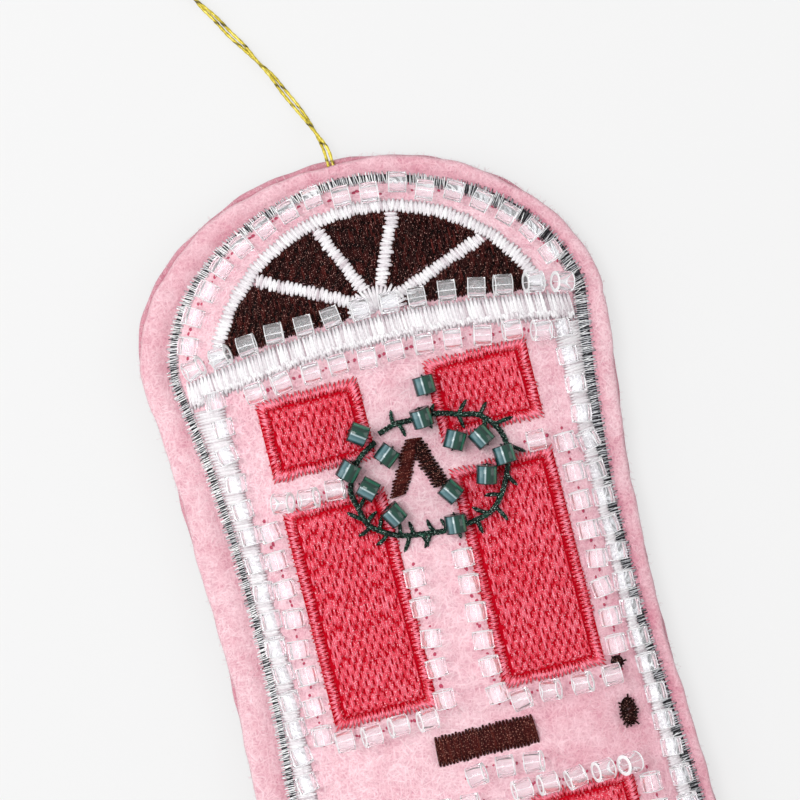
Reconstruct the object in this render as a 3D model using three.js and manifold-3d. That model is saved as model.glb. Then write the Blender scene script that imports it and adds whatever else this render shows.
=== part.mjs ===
// Felt door ornament: two felt shapes sewn round a pad, embroidered as a panelled
// front door with a fanlight and a wreath, edged with glass beads, hung by a thread loop.
// Millimetres. +X is the door's right, +Y its top, +Z out of its face; it lies on its back.

import * as THREE from 'three';
import { mergeVertices } from 'three/addons/utils/BufferGeometryUtils.js';
import Module from 'manifold-3d';

const wasm = await Module();
wasm.setup();

// Felt, pad and puff
const feltThickness = 1.2;
const layerGap = 0.2;          // between the two felts at their border
const seamHeight = 1.5;        // the border's underside above the table
const frontPuff = 3.0;         // how far the front felt swells above its border
const puffRun = 13;            // distance from the seam over which the felt swells
const padGap = 0.3;
const padInset = 2.5;
const padHeadroom = 9;         // room above the pad for the loop's knot

// Borders, from the felt's cut edge to the seam
const topBorder = 3.2;
const shoulderBorder = 3.95;
const waistBorder = 4.4;
const footBorder = 3.7;
const footCornerRadius = 4;

// Door layout across: half of it each side of the embroidery's middle line
const embroideryShift = 1.0;   // the embroidery stands this far right of the felt's middle
const seamShift = 0.15;
const seamShoulderShift = 0.4;
const seamArchLean = 0.5;
const feltArchLean = 1.1;      // the cut arch swells this far more to the left
const waistShift = -0.8;       // the felt's border is cut wider on its left
const stileWidth = 9.2;
const panelWidth = 15.4;
const pilasterZone = 6.6;      // from a panel's outer edge to the seam
const footFlare = 2.2;
const fanRadius = 26.4;
const fanBeadBand = 3.3;       // from the fanlight's arch to the seam

// Door layout from the foot up
const footSpace = 4.9;
const bottomPanelHeight = 14;
const middleRail = 15;
const tallPanelHeight = 32.6;
const lockRail = 3.8;
const upperPanelHeight = 12.2;
const headRail = 3.2;
const transomHeight = 4.9;
const transomSag = 3.4;        // how far the transom's ends hang below its middle
const transomShift = -0.7;     // its highest place stands left of the middle line
const fanRise = 16.1;
const shoulderDrop = 22.8;     // from the seam's top to its widest place
const waistHeight = 47;        // narrowest place above the seam's foot
const seamArchPower = 1.87;    // 2 is an ellipse, less is flatter haunches
const feltArchPower = 2;
const seamSidePower = 2.2;     // 1 is a straight side, more keeps it narrow for longer
const feltSidePower = 1.4;

// Satin stitching
const stitchGap = 0.2;
const satinThickness = 0.4;
const satinEdge = 0.25;
const satinRim = 0.55;
const panelRimWidth = 1.9;
const plateGap = 0.3;          // between neighbouring blocks of stitches
const seamStitchWidth = 1.5;
const backStitchWidth = 1.0;
const backStitchThickness = 0.3;
const archStitchWidth = 1.9;
const barWidth = 1.7;
const pilasterSpace = 4.2;     // from a panel's outer edge to the pilaster
const hubRadius = 3.8;
const hubShift = 0.5;
const hubRise = 0.6;           // hub's middle above the transom
const hubThickness = 0.7;
const stitchPatch = 3.4;       // longest step of a stitched field's grid

// Door furniture
const mailSlotWidth = 14.4;
const mailSlotHeight = 4.6;
const mailSlotDrop = 3.9;      // below the tall panels
const mailSlotShift = 0.6;
const knobWidth = 2.8;
const knobHeight = 4.6;
const knobThickness = 0.6;
const deadboltSize = 2.3;
const knobDrop = 7.2;          // knob's middle below the tall panels
const knockerHeight = 7.2;
const knockerSpread = 3.1;     // each foot's distance from the knocker's middle line
const knockerLegWidth = 2.0;
const knockerLean = 0.9;       // its apex stands right of its feet's middle
const knockerRise = 5.4;       // apex above the tall panels

// Glass beads on their sewing thread
const beadDiameter = 3.0;
const beadLength = 2.4;
const beadBore = 1.5;
const beadLift = 0.9;          // over the felt, clear of the stitches
const beadPitch = 4.15;
const pilasterPitch = 4.07;
const sewingThread = 0.5;
const archBeadInset = 1.0;       // inside the seam's middle line
const archBeadShift = 0.7;       // how much further in the row stands at its left end
const archBeadGapLeft = 0.5;      // from the arch row's ends to the row on the transom
const archBeadGapRight = 1.95;
const beadClearance = 0.3;
const outerBeadOffset = 2.0;   // outside a panel's outer edge
const innerBeadOffset = 0.85;  // inside a panel's inner edge
const wreathRoom = 12.5;       // kept free of bead rows below the tall panels' tops
const pilasterFlare = 1.5;        // how far the pilasters lean out at their feet
const wreathBeadDiameter = 3.0;
const wreathBeadLength = 2.6;
const wreathRadius = 11.5;
const wreathShift = 2.3;
const vineDiameter = 0.6;
const barbDiameter = 0.4;

// Hanging loop
const threadDiameter = 0.5;
const strandGap = 0.2;
const exitOffset = -0.1;
const pivotDepth = 0.5;        // the loop turns this far inside the felt's edge
const tailGap = 0.75;
const channelHeight = 1.0;
const channelFlare = 2.0;      // half width of the channel's mouth at the felt's edge
const knotDepth = 7.5;
const knotRadius = 0.8;
const overrun = 2;

// Counts
const archSteps = 20;
const sideSteps = 10;
const cornerSteps = 3;
const footSteps = 6;
const beadSides = 8;
const wreathBeadSides = 10;
const vineSides = 6;
const vineSteps = 46;
const loopSides = 8;
const loopSteps = 80;
const weldTolerance = 1e-4;

// Sizes that follow from the ones above
const seamFoot = 0;
const bottomPanelBase = seamFoot + footSpace;
const tallPanelBase = bottomPanelBase + bottomPanelHeight + middleRail;
const upperPanelBase = tallPanelBase + tallPanelHeight + lockRail;
const transomBase = upperPanelBase + upperPanelHeight + headRail;
const fanBase = transomBase + transomHeight;
const fanTop = fanBase + fanRise;
const seamTop = fanTop + fanBeadBand;
const doorHeight = footBorder + seamTop + topBorder;
const panelOuterEdge = stileWidth / 2 + panelWidth;
const seamWaistHalf = panelOuterEdge + pilasterZone;
const seamShoulderHalf = fanRadius + fanBeadBand;
const doorHalfWidth = seamShoulderHalf + shoulderBorder;
const borderTop = seamHeight + feltThickness + layerGap + feltThickness;
const exitHeight = seamHeight + feltThickness + layerGap / 2;
const halfLift = doorHeight / 2 - footBorder;   // the layout's zero is the seam's foot

const door = new THREE.Group();

function colouredMaterial(colour, roughness, metalness) {
  return new THREE.MeshStandardMaterial({ color: colour, roughness, metalness });
}

const materials = {
  frontFelt: colouredMaterial(0xefc7cf, 0.95, 0),
  backFelt: colouredMaterial(0xe0a9b5, 0.95, 0),
  padding: colouredMaterial(0xf4f1ea, 1, 0),
  silverThread: colouredMaterial(0xb9babd, 0.35, 0.8),
  palePinkThread: colouredMaterial(0xe9ccd2, 0.8, 0),
  whiteThread: colouredMaterial(0xf5f0f1, 0.55, 0),
  brownThread: colouredMaterial(0x2e1514, 0.5, 0),
  redThread: colouredMaterial(0xd9465a, 0.5, 0),
  greenThread: colouredMaterial(0x14402f, 0.55, 0),
  clearGlass: colouredMaterial(0xf1eff1, 0.08, 0),
  greenGlass: colouredMaterial(0x4f8a86, 0.12, 0),
  goldThread: colouredMaterial(0xdccb42, 0.35, 0.7),
};

function addNode(name, geometry, material) {
  const node = new THREE.Mesh(geometry, material);
  node.name = name;
  door.add(node);
  return node;
}

function smoothShare(share) {
  const t = Math.min(Math.max(share, 0), 1);
  return t * t * (3 - 2 * t);
}

function layoutY(height) {
  return height - halfLift;
}

// Door outlines

const seamLine = {
  top: seamTop,
  foot: seamFoot,
  shoulderHeight: seamTop - shoulderDrop,
  waistHeight,
  shoulderHalf: seamShoulderHalf,
  waistHalf: seamWaistHalf,
  footHalf: seamWaistHalf + footFlare,
  shoulderMiddle: seamShoulderShift,
  waistMiddle: seamShift,
  footMiddle: seamShift,
  corner: footCornerRadius / 2,
  power: seamArchPower,
  archLean: seamArchLean,
  sidePower: seamSidePower,
};

const feltEdge = {
  top: seamTop + topBorder,
  foot: seamFoot - footBorder,
  shoulderHeight: seamTop - shoulderDrop,
  waistHeight,
  shoulderHalf: doorHalfWidth,
  waistHalf: seamWaistHalf + waistBorder,
  footHalf: seamWaistHalf + footFlare + footBorder,
  shoulderMiddle: 0,
  waistMiddle: waistShift,
  footMiddle: waistShift,
  corner: footCornerRadius,
  power: feltArchPower,
  archLean: feltArchLean,
  sidePower: feltSidePower,
};

// Half width and middle of an outline at a height below its shoulders
function sideAt(line, height) {
  if (height > line.waistHeight) {
    const share = (height - line.waistHeight) / (line.shoulderHeight - line.waistHeight);
    return {
      half: THREE.MathUtils.lerp(line.waistHalf, line.shoulderHalf, share ** line.sidePower),
      middle: THREE.MathUtils.lerp(line.waistMiddle, line.shoulderMiddle, smoothShare(share)),
    };
  }
  const share = smoothShare((line.waistHeight - height) / (line.waistHeight - line.foot));
  return {
    half: THREE.MathUtils.lerp(line.waistHalf, line.footHalf, share),
    middle: THREE.MathUtils.lerp(line.waistMiddle, line.footMiddle, share),
  };
}

// An outline's arch from its right shoulder to its left one
function archPoints(line, steps) {
  const rise = line.top - line.shoulderHeight;
  return Array.from({ length: steps + 1 }, (_, step) => {
    const angle = Math.PI * step / steps;
    const across = Math.sign(Math.cos(angle)) * Math.abs(Math.cos(angle)) ** (2 / line.power);
    const up = Math.abs(Math.sin(angle)) ** (2 / line.power);
    const lean = line.archLean * Math.abs(Math.sin(2 * angle));
    const x = line.shoulderMiddle + line.shoulderHalf * across - lean;
    return new THREE.Vector2(x, layoutY(line.shoulderHeight + rise * up));
  });
}

// Closed outline, anticlockwise from the right shoulder, with the same count on every line
function outlineLoop(line) {
  const loop = archPoints(line, archSteps);
  const sideTop = line.shoulderHeight;
  const sideFoot = line.foot + line.corner;
  for (let step = 1; step <= sideSteps; step += 1) {
    const height = THREE.MathUtils.lerp(sideTop, sideFoot, step / sideSteps);
    const side = sideAt(line, height);
    loop.push(new THREE.Vector2(side.middle - side.half, layoutY(height)));
  }
  const corner = line.corner;
  const base = sideAt(line, sideFoot);
  for (let step = 1; step <= cornerSteps; step += 1) {
    const angle = Math.PI + Math.PI / 2 * step / cornerSteps;
    const x = base.middle - base.half + corner + corner * Math.cos(angle);
    loop.push(new THREE.Vector2(x, layoutY(sideFoot + corner * Math.sin(angle))));
  }
  const footHalf = base.half - corner;
  for (let step = 1; step < footSteps; step += 1) {
    const x = base.middle + THREE.MathUtils.lerp(-footHalf, footHalf, step / footSteps);
    loop.push(new THREE.Vector2(x, layoutY(line.foot)));
  }
  for (let step = 0; step < cornerSteps; step += 1) {
    const angle = 1.5 * Math.PI + Math.PI / 2 * step / cornerSteps;
    const x = base.middle + base.half - corner + corner * Math.cos(angle);
    loop.push(new THREE.Vector2(x, layoutY(sideFoot + corner * Math.sin(angle))));
  }
  for (let step = sideSteps; step >= 1; step -= 1) {
    const height = THREE.MathUtils.lerp(sideTop, sideFoot, step / sideSteps);
    const side = sideAt(line, height);
    loop.push(new THREE.Vector2(side.middle + side.half, layoutY(height)));
  }
  return loop;
}

const seamLoop = outlineLoop(seamLine);
const feltLoop = outlineLoop(feltEdge);

function offsetLoop(loop, distance) {
  return loop.map((point, index) => {
    const before = loop[(index + loop.length - 1) % loop.length];
    const after = loop[(index + 1) % loop.length];
    const along = after.clone().sub(before).normalize();
    return new THREE.Vector2(point.x + along.y * distance, point.y - along.x * distance);
  });
}

// Moves a seam point towards the door's middle line
function towardsMiddle(point, distance) {
  const reach = seamWaistHalf - overrun;
  const y = THREE.MathUtils.clamp(point.y, layoutY(seamFoot) + reach, layoutY(seamTop) - reach);
  const target = new THREE.Vector2(seamShift, y);
  const inward = target.sub(point).normalize();
  return point.clone().addScaledVector(inward, distance);
}

// Height of the puffed felt over the plan

function insideSeam(x, y) {
  let inside = false;
  for (let index = 0; index < seamLoop.length; index += 1) {
    const a = seamLoop[index];
    const b = seamLoop[(index + 1) % seamLoop.length];
    const crosses = (a.y > y) !== (b.y > y) && x < (b.x - a.x) * (y - a.y) / (b.y - a.y) + a.x;
    inside = crosses ? !inside : inside;
  }
  return inside;
}

function distanceToSeam(x, y) {
  let least = Infinity;
  for (let index = 0; index < seamLoop.length; index += 1) {
    const a = seamLoop[index];
    const b = seamLoop[(index + 1) % seamLoop.length];
    const dx = b.x - a.x;
    const dy = b.y - a.y;
    const share = THREE.MathUtils.clamp(((x - a.x) * dx + (y - a.y) * dy) / (dx * dx + dy * dy), 0, 1);
    least = Math.min(least, Math.hypot(x - a.x - dx * share, y - a.y - dy * share));
  }
  return least;
}

function puffShare(x, y) {
  if (!insideSeam(x, y)) return 0;
  return Math.sin(Math.min(distanceToSeam(x, y) / puffRun, 1) * Math.PI / 2);
}

const frontTop = (x, y) => borderTop + frontPuff * puffShare(x, y);
const frontUnder = (x, y) => frontTop(x, y) - feltThickness;
const backUnder = (x, y) => seamHeight * (1 - puffShare(x, y));
const backTop = (x, y) => backUnder(x, y) + feltThickness;
const stitchBase = (x, y) => frontTop(x, y) + stitchGap;

// Closed bodies from plan points and two heights

function closedBody(points, faces) {
  const position = new Float32Array(points.length * 3);
  points.forEach((point, index) => position.set([point.x, point.y, point.z], index * 3));
  const geometry = new THREE.BufferGeometry();
  geometry.setAttribute('position', new THREE.BufferAttribute(position, 3));
  let volume = 0;
  for (const [a, b, c] of faces) {
    volume += points[a].dot(new THREE.Vector3().crossVectors(points[b], points[c]));
  }
  const outward = volume > 0 ? faces : faces.map(([a, b, c]) => [a, c, b]);
  geometry.setIndex(outward.flat());
  return geometry;
}

// A plate over rings of plan points, the outermost first, closed by a flat middle
function ringedPlate(rings, under, over) {
  const count = rings[0].length;
  const flat = rings.flat();
  const ringOf = (index) => Math.floor(index / count);
  const points = flat.map((p, index) => new THREE.Vector3(p.x, p.y, over(p.x, p.y, ringOf(index))));
  flat.forEach((p) => points.push(new THREE.Vector3(p.x, p.y, under(p.x, p.y))));
  const faces = [];
  const lower = flat.length;
  for (let ring = 0; ring < rings.length - 1; ring += 1) {
    for (let index = 0; index < count; index += 1) {
      const a = ring * count + index;
      const b = ring * count + (index + 1) % count;
      const c = b + count;
      const d = a + count;
      faces.push([a, b, c], [a, c, d], [lower + a, lower + c, lower + b], [lower + a, lower + d, lower + c]);
    }
  }
  const last = (rings.length - 1) * count;
  for (const [a, b, c] of THREE.ShapeUtils.triangulateShape(rings.at(-1), [])) {
    faces.push([last + a, last + b, last + c], [lower + last + a, lower + last + c, lower + last + b]);
  }
  for (let index = 0; index < count; index += 1) {
    const next = (index + 1) % count;
    faces.push([index, lower + index, lower + next], [index, lower + next, next]);
  }
  return closedBody(points, faces);
}

// A plate over rows of plan points; closed rows join their ends
function rowedPlate(rows, under, over, closed = false) {
  const across = rows[0].length;
  const flat = rows.flat();
  const points = flat.map((p, index) => new THREE.Vector3(p.x, p.y, over(p.x, p.y, index % across)));
  flat.forEach((p) => points.push(new THREE.Vector3(p.x, p.y, under(p.x, p.y))));
  const lower = flat.length;
  const faces = [];
  const bands = closed ? rows.length : rows.length - 1;
  const wall = (a, b) => faces.push([b, a, lower + a], [b, lower + a, lower + b]);
  for (let row = 0; row < bands; row += 1) {
    const here = row * across;
    const next = (row + 1) % rows.length * across;
    for (let column = 0; column < across - 1; column += 1) {
      const a = here + column;
      const b = here + column + 1;
      const c = next + column + 1;
      const d = next + column;
      faces.push([a, b, c], [a, c, d], [lower + a, lower + c, lower + b], [lower + a, lower + d, lower + c]);
    }
    wall(next, here);
    wall(here + across - 1, next + across - 1);
  }
  if (!closed) {
    const lastRow = (rows.length - 1) * across;
    for (let column = 0; column < across - 1; column += 1) {
      wall(column, column + 1);
      wall(lastRow + column + 1, lastRow + column);
    }
  }
  return closedBody(points, faces);
}

const satinOver = (thickness) => (x, y) => stitchBase(x, y) + thickness;

// Solid joins and cuts

function toSolid(geometry) {
  const bare = geometry.clone();
  bare.deleteAttribute('normal');
  bare.deleteAttribute('uv');
  const merged = mergeVertices(bare, weldTolerance);
  return new wasm.Manifold(new wasm.Mesh({
    numProp: 3,
    vertProperties: Float32Array.from(merged.attributes.position.array),
    triVerts: Uint32Array.from(merged.index.array),
  }));
}

function fromSolid(solid) {
  const mesh = solid.getMesh();
  const geometry = new THREE.BufferGeometry();
  geometry.setAttribute('position', new THREE.BufferAttribute(Float32Array.from(mesh.vertProperties), 3));
  geometry.setIndex(Array.from(mesh.triVerts));
  return geometry;
}

function joined(geometries) {
  return fromSolid(geometries.map(toSolid).reduce((sum, solid) => sum.add(solid)));
}

function cut(geometry, cutter) {
  return fromSolid(toSolid(geometry).subtract(toSolid(cutter)));
}

// A round bar between two points
function bar(from, to, radius, sides) {
  const along = to.clone().sub(from);
  const geometry = new THREE.CylinderGeometry(radius, radius, along.length(), sides);
  const turn = new THREE.Quaternion().setFromUnitVectors(new THREE.Vector3(0, 1, 0), along.normalize());
  geometry.applyQuaternion(turn);
  const middle = from.clone().add(to).multiplyScalar(0.5);
  return geometry.translate(middle.x, middle.y, middle.z);
}

function tube(route, radius, sides, steps) {
  const circle = new THREE.EllipseCurve(0, 0, radius, radius, 0, 2 * Math.PI);
  const section = new THREE.Shape(circle.getPoints(sides).slice(1));
  const path = new THREE.CatmullRomCurve3(route, false, 'centripetal');
  return new THREE.ExtrudeGeometry(section, { extrudePath: path, steps });
}

// Felts, pad and the seam that joins them

const exitPoint = new THREE.Vector3(exitOffset, layoutY(feltEdge.top) - pivotDepth, exitHeight);
const strandOffset = (threadDiameter + strandGap) / 2;

// Where the thread runs between the felts: a channel that opens out at the edge
function threadChannel() {
  const innerHalf = threadDiameter + strandGap + stitchGap;
  const edge = layoutY(feltEdge.top);
  const throat = edge - pivotDepth - (channelFlare - innerHalf);
  const plan = new THREE.Shape([
    new THREE.Vector2(exitOffset - channelFlare, edge + overrun),
    new THREE.Vector2(exitOffset - channelFlare, edge - pivotDepth),
    new THREE.Vector2(exitOffset - innerHalf, throat),
    new THREE.Vector2(exitOffset - innerHalf, edge - topBorder - padInset),
    new THREE.Vector2(exitOffset + innerHalf, edge - topBorder - padInset),
    new THREE.Vector2(exitOffset + innerHalf, throat),
    new THREE.Vector2(exitOffset + channelFlare, edge - pivotDepth),
    new THREE.Vector2(exitOffset + channelFlare, edge + overrun),
  ]);
  const channel = new THREE.ExtrudeGeometry(plan, { depth: channelHeight, bevelEnabled: false });
  return channel.translate(0, 0, exitHeight - channelHeight / 2);
}

function feltRings() {
  const ringShares = [0, 0.15, 0.4, 0.7, 1];
  const rings = ringShares.map((share) => seamLoop.map((p) => towardsMiddle(p, puffRun * share)));
  return [feltLoop, ...rings];
}

function addFelts() {
  const rings = feltRings();
  const channel = threadChannel();
  addNode('back_felt', cut(ringedPlate(rings, backUnder, backTop), channel), materials.backFelt);
  addNode('front_felt', cut(ringedPlate(rings, frontUnder, frontTop), channel), materials.frontFelt);
}

function addPad() {
  const shoulder = layoutY(seamLine.shoulderHeight);
  const headShare = 1 - padHeadroom / shoulderDrop;
  const lowered = (p) => {
    const y = p.y < shoulder ? p.y : shoulder + (p.y - shoulder) * headShare;
    return new THREE.Vector2(p.x, y);
  };
  const insets = [padInset, padInset + puffRun / 3, padInset + puffRun];
  const rings = insets.map((inset) => seamLoop.map((p) => lowered(towardsMiddle(p, inset))));
  const under = (x, y) => backTop(x, y) + padGap;
  const over = (x, y) => frontUnder(x, y) - padGap;
  addNode('stuffing_pad', ringedPlate(rings, under, over), materials.padding);
}

function seamBand(width) {
  const outer = offsetLoop(seamLoop, width / 2);
  const inner = offsetLoop(seamLoop, -width / 2);
  return seamLoop.map((point, index) => [outer[index], point, inner[index]]);
}

function addSeamStitches() {
  const ridge = (x, y, column) => stitchBase(x, y) + (column === 1 ? satinThickness : satinEdge);
  const front = rowedPlate(seamBand(seamStitchWidth), stitchBase, ridge, true);
  addNode('silver_seam_stitch', front, materials.silverThread);
  const backRows = seamBand(backStitchWidth).map(([outer, , inner]) => [outer, inner]);
  const backOver = (x, y) => backUnder(x, y) - stitchGap / 2;
  const backLow = (x, y) => backOver(x, y) - backStitchThickness;
  addNode('back_seam_stitch', rowedPlate(backRows, backLow, backOver, true), materials.palePinkThread);
}

// Fanlight: an arch of circle, five panes and four bars from a half-round hub

const fanCentre = new THREE.Vector2(embroideryShift, layoutY(fanTop - fanRadius));
const hubCentre = new THREE.Vector2(embroideryShift + hubShift, layoutY(fanBase) + hubRise);
const barAngles = [20.5, 67.5, 114.5, 153.5];

// Where a line from a point, at an angle, meets a circle round the fanlight's centre
function reachToArch(start, angle, radius) {
  const direction = new THREE.Vector2(Math.cos(angle), Math.sin(angle));
  const offset = start.clone().sub(fanCentre);
  const along = offset.dot(direction);
  const reach = Math.sqrt(radius ** 2 - offset.lengthSq() + along ** 2) - along;
  return start.clone().addScaledVector(direction, reach);
}

function transomDrop(x) {
  const half = fanRadius + fanBeadBand;
  return transomSag * ((x - transomShift) / half) ** 2;
}

// The angle above level at which one leg of the arch meets the transom
function archFootTurn(side, radius) {
  const footHeight = layoutY(fanBase) - transomDrop(fanCentre.x + side * radius) + plateGap;
  return Math.asin((footHeight - fanCentre.y) / radius);
}

function addFanlightArch() {
  const steps = 24;
  const inner = fanRadius - archStitchWidth;
  const start = archFootTurn(1, inner);
  const end = Math.PI - archFootTurn(-1, inner);
  const rows = [];
  for (let step = 0; step <= steps; step += 1) {
    const angle = THREE.MathUtils.lerp(start, end, step / steps);
    const radii = [fanRadius, (fanRadius + inner) / 2, inner];
    rows.push(radii.map((radius) => new THREE.Vector2(
      fanCentre.x + radius * Math.cos(angle),
      fanCentre.y + radius * Math.sin(angle),
    )));
  }
  const ridge = (x, y, column) => stitchBase(x, y) + (column === 1 ? satinRim : satinEdge);
  addNode('fanlight_arch_stitch', rowedPlate(rows, stitchBase, ridge), materials.whiteThread);
}

function addFanlightBars() {
  barAngles.forEach((degrees, index) => {
    const angle = THREE.MathUtils.degToRad(degrees);
    const direction = new THREE.Vector2(Math.cos(angle), Math.sin(angle));
    const sideways = new THREE.Vector2(-direction.y, direction.x);
    const root = hubCentre.clone().addScaledVector(direction, hubRadius + plateGap);
    const tip = reachToArch(root, angle, fanRadius - archStitchWidth - 2 * plateGap);
    const steps = Math.ceil(root.distanceTo(tip) / stitchPatch);
    const rows = [];
    for (let step = 0; step <= steps; step += 1) {
      const middle = root.clone().lerp(tip, step / steps);
      rows.push([-0.5, 0, 0.5].map((share) => middle.clone().addScaledVector(sideways, barWidth * share)));
    }
    const ridge = (x, y, column) => stitchBase(x, y) + (column === 1 ? satinRim : satinEdge);
    addNode(`fanlight_bar_${index + 1}`, rowedPlate(rows, stitchBase, ridge), materials.whiteThread);
  });
}

// One long edge of a pane, beside a bar or over the transom
function paneEdge(degrees, side, clear) {
  const angle = THREE.MathUtils.degToRad(degrees);
  const sideways = new THREE.Vector2(-Math.sin(angle), Math.cos(angle)).multiplyScalar(side * clear);
  const start = hubCentre.clone().add(sideways);
  const direction = new THREE.Vector2(Math.cos(angle), Math.sin(angle));
  return {
    inner: start.clone().addScaledVector(direction, hubRadius + plateGap),
    outer: reachToArch(start, angle, fanRadius - archStitchWidth - plateGap),
  };
}

function addFanlightPanes() {
  const overTransom = plateGap / 2 - hubRise;
  const besideBar = barWidth / 2 + plateGap;
  const edges = [
    paneEdge(0, 1, overTransom),
    ...barAngles.flatMap((angle) => [paneEdge(angle, -1, besideBar), paneEdge(angle, 1, besideBar)]),
    paneEdge(180, -1, overTransom),
  ];
  for (let pane = 0; pane < edges.length / 2; pane += 1) {
    const from = edges[2 * pane];
    const to = edges[2 * pane + 1];
    const fromTurn = from.outer.clone().sub(fanCentre).angle();
    const toTurn = to.outer.clone().sub(fanCentre).angle();
    const radius = from.outer.distanceTo(fanCentre);
    const across = Math.max(2, Math.ceil(radius * (toTurn - fromTurn) / stitchPatch));
    const steps = Math.ceil(from.outer.distanceTo(from.inner) / stitchPatch);
    const rows = [];
    for (let step = 0; step <= steps; step += 1) {
      const row = [];
      for (let column = 0; column <= across; column += 1) {
        const turn = THREE.MathUtils.lerp(fromTurn, toTurn, column / across);
        const outer = new THREE.Vector2(Math.cos(turn), Math.sin(turn)).multiplyScalar(radius).add(fanCentre);
        const inner = from.inner.clone().lerp(to.inner, column / across);
        row.push(inner.lerp(outer, step / steps));
      }
      rows.push(row);
    }
    const plate = rowedPlate(rows, stitchBase, satinOver(satinThickness));
    addNode(`fanlight_pane_${pane + 1}`, plate, materials.brownThread);
  }
}

function addFanlightHub() {
  const steps = 10;
  const ringShares = [1, 0.7, 0.35];
  const rings = ringShares.map((share) => {
    const ring = [];
    for (let step = 0; step <= steps; step += 1) {
      const angle = Math.PI * step / steps;
      const foot = hubCentre.y - hubRise + plateGap + hubRadius * (1 - share) / 2;
      ring.push(new THREE.Vector2(
        hubCentre.x + hubRadius * share * Math.cos(angle),
        foot + (hubRadius * share + hubRise - plateGap) * Math.sin(angle),
      ));
    }
    return ring;
  });
  const heights = ringShares.map((share) => THREE.MathUtils.lerp(hubThickness, satinEdge, share ** 2));
  const dome = (x, y, ring) => stitchBase(x, y) + heights[ring];
  addNode('fanlight_hub_stitch', ringedPlate(rings, stitchBase, dome), materials.whiteThread);
}

// Frame of the door: the transom over it and a pilaster down each side

function addTransom() {
  const middle = transomBase + transomHeight / 2;
  const clear = seamStitchWidth / 2 + plateGap;
  const atEnds = sideAt(seamLine, transomBase - transomSag);
  const ends = atEnds.half - clear;
  const columns = 16;
  const heightShares = [0.5, 0.25, 0, -0.25, -0.5];
  const rows = [];
  for (let column = 0; column <= columns; column += 1) {
    const x = atEnds.middle + THREE.MathUtils.lerp(-ends, ends, column / columns);
    const y = layoutY(middle) - transomDrop(x);
    rows.push(heightShares.map((share) => new THREE.Vector2(x, y + (transomHeight - plateGap) * share)));
  }
  const twoRows = (x, y, column) => stitchBase(x, y) + (column % 2 === 1 ? satinRim : satinEdge);
  addNode('transom_stitch', rowedPlate(rows, stitchBase, twoRows), materials.whiteThread);
}

function seamSide(side, height) {
  const here = sideAt(seamLine, height);
  return here.middle + side * here.half;
}

function transomUnderside(x) {
  return transomBase - transomDrop(x);
}

// Where a line beside the panels stands at a height: it leans out towards the foot
function besidePanels(side, reach, height) {
  const lean = pilasterFlare * smoothShare((waistHeight - height) / waistHeight);
  return embroideryShift + side * (panelOuterEdge + reach + lean);
}

function addPilaster(name, side) {
  const steps = 12;
  const clear = seamStitchWidth / 2 + plateGap;
  const top = transomUnderside(side * seamWaistHalf) - plateGap;
  const foot = seamFoot + clear + footCornerRadius / 2;
  const rows = [];
  for (let step = 0; step <= steps; step += 1) {
    const height = THREE.MathUtils.lerp(top, foot, step / steps);
    const outer = seamSide(side, height) - side * clear;
    const inner = besidePanels(side, pilasterSpace, height);
    const acrossShares = [0, 1 / 3, 2 / 3, 1];
    const places = acrossShares.map((share) => THREE.MathUtils.lerp(outer, inner, share));
    rows.push(places.map((x) => new THREE.Vector2(x, layoutY(height))));
  }
  const base = (x, y) => stitchBase(x, y) + stitchGap / 4;
  const ridge = (x, y, column) => base(x, y) + (column % 3 === 0 ? satinEdge : satinRim);
  addNode(name, rowedPlate(rows, base, ridge), materials.whiteThread);
}

// Door panels: a satin rim round a flat field of stitches

function panelLines(low, high) {
  const fieldLow = low + panelRimWidth;
  const fieldHigh = high - panelRimWidth;
  const parts = Math.ceil((fieldHigh - fieldLow) / stitchPatch);
  const field = [];
  for (let part = 0; part <= parts; part += 1) {
    field.push(THREE.MathUtils.lerp(fieldLow, fieldHigh, part / parts));
  }
  return [low, (low + fieldLow) / 2, ...field, (high + fieldHigh) / 2, high];
}

function addPanel(name, side, base, height) {
  const inner = embroideryShift + side * stileWidth / 2;
  const outer = inner + side * panelWidth;
  const left = Math.min(inner, outer);
  const right = Math.max(inner, outer);
  const xLines = panelLines(left, right);
  const yLines = panelLines(layoutY(base), layoutY(base + height));
  const rows = yLines.map((y) => xLines.map((x) => new THREE.Vector2(x, y)));
  const low = layoutY(base);
  const over = (x, y) => {
    const inset = Math.min(x - left, right - x, y - low, low + height - y) / panelRimWidth;
    const onRim = inset < 0.25 ? satinEdge : satinRim;
    return stitchBase(x, y) + (inset > 0.75 ? satinThickness : onRim);
  };
  addNode(name, rowedPlate(rows, stitchBase, over), materials.redThread);
}

function addPanels() {
  for (const [place, base, height] of [
    ['upper', upperPanelBase, upperPanelHeight],
    ['tall', tallPanelBase, tallPanelHeight],
    ['bottom', bottomPanelBase, bottomPanelHeight],
  ]) {
    addPanel(`${place}_left_panel`, -1, base, height);
    addPanel(`${place}_right_panel`, 1, base, height);
  }
}

// Door furniture in brown thread

function addMailSlot() {
  const middle = new THREE.Vector2(
    embroideryShift + mailSlotShift,
    layoutY(tallPanelBase - mailSlotDrop) - mailSlotHeight / 2,
  );
  const columns = 4;
  const rows = [];
  for (let column = 0; column <= columns; column += 1) {
    const x = middle.x + mailSlotWidth * (column / columns - 0.5);
    rows.push([0.5, 0, -0.5].map((share) => new THREE.Vector2(x, middle.y + mailSlotHeight * share)));
  }
  const ridge = (x, y, column) => stitchBase(x, y) + (column === 1 ? satinRim : satinEdge);
  addNode('mail_slot_stitch', rowedPlate(rows, stitchBase, ridge), materials.brownThread);
}

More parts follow.
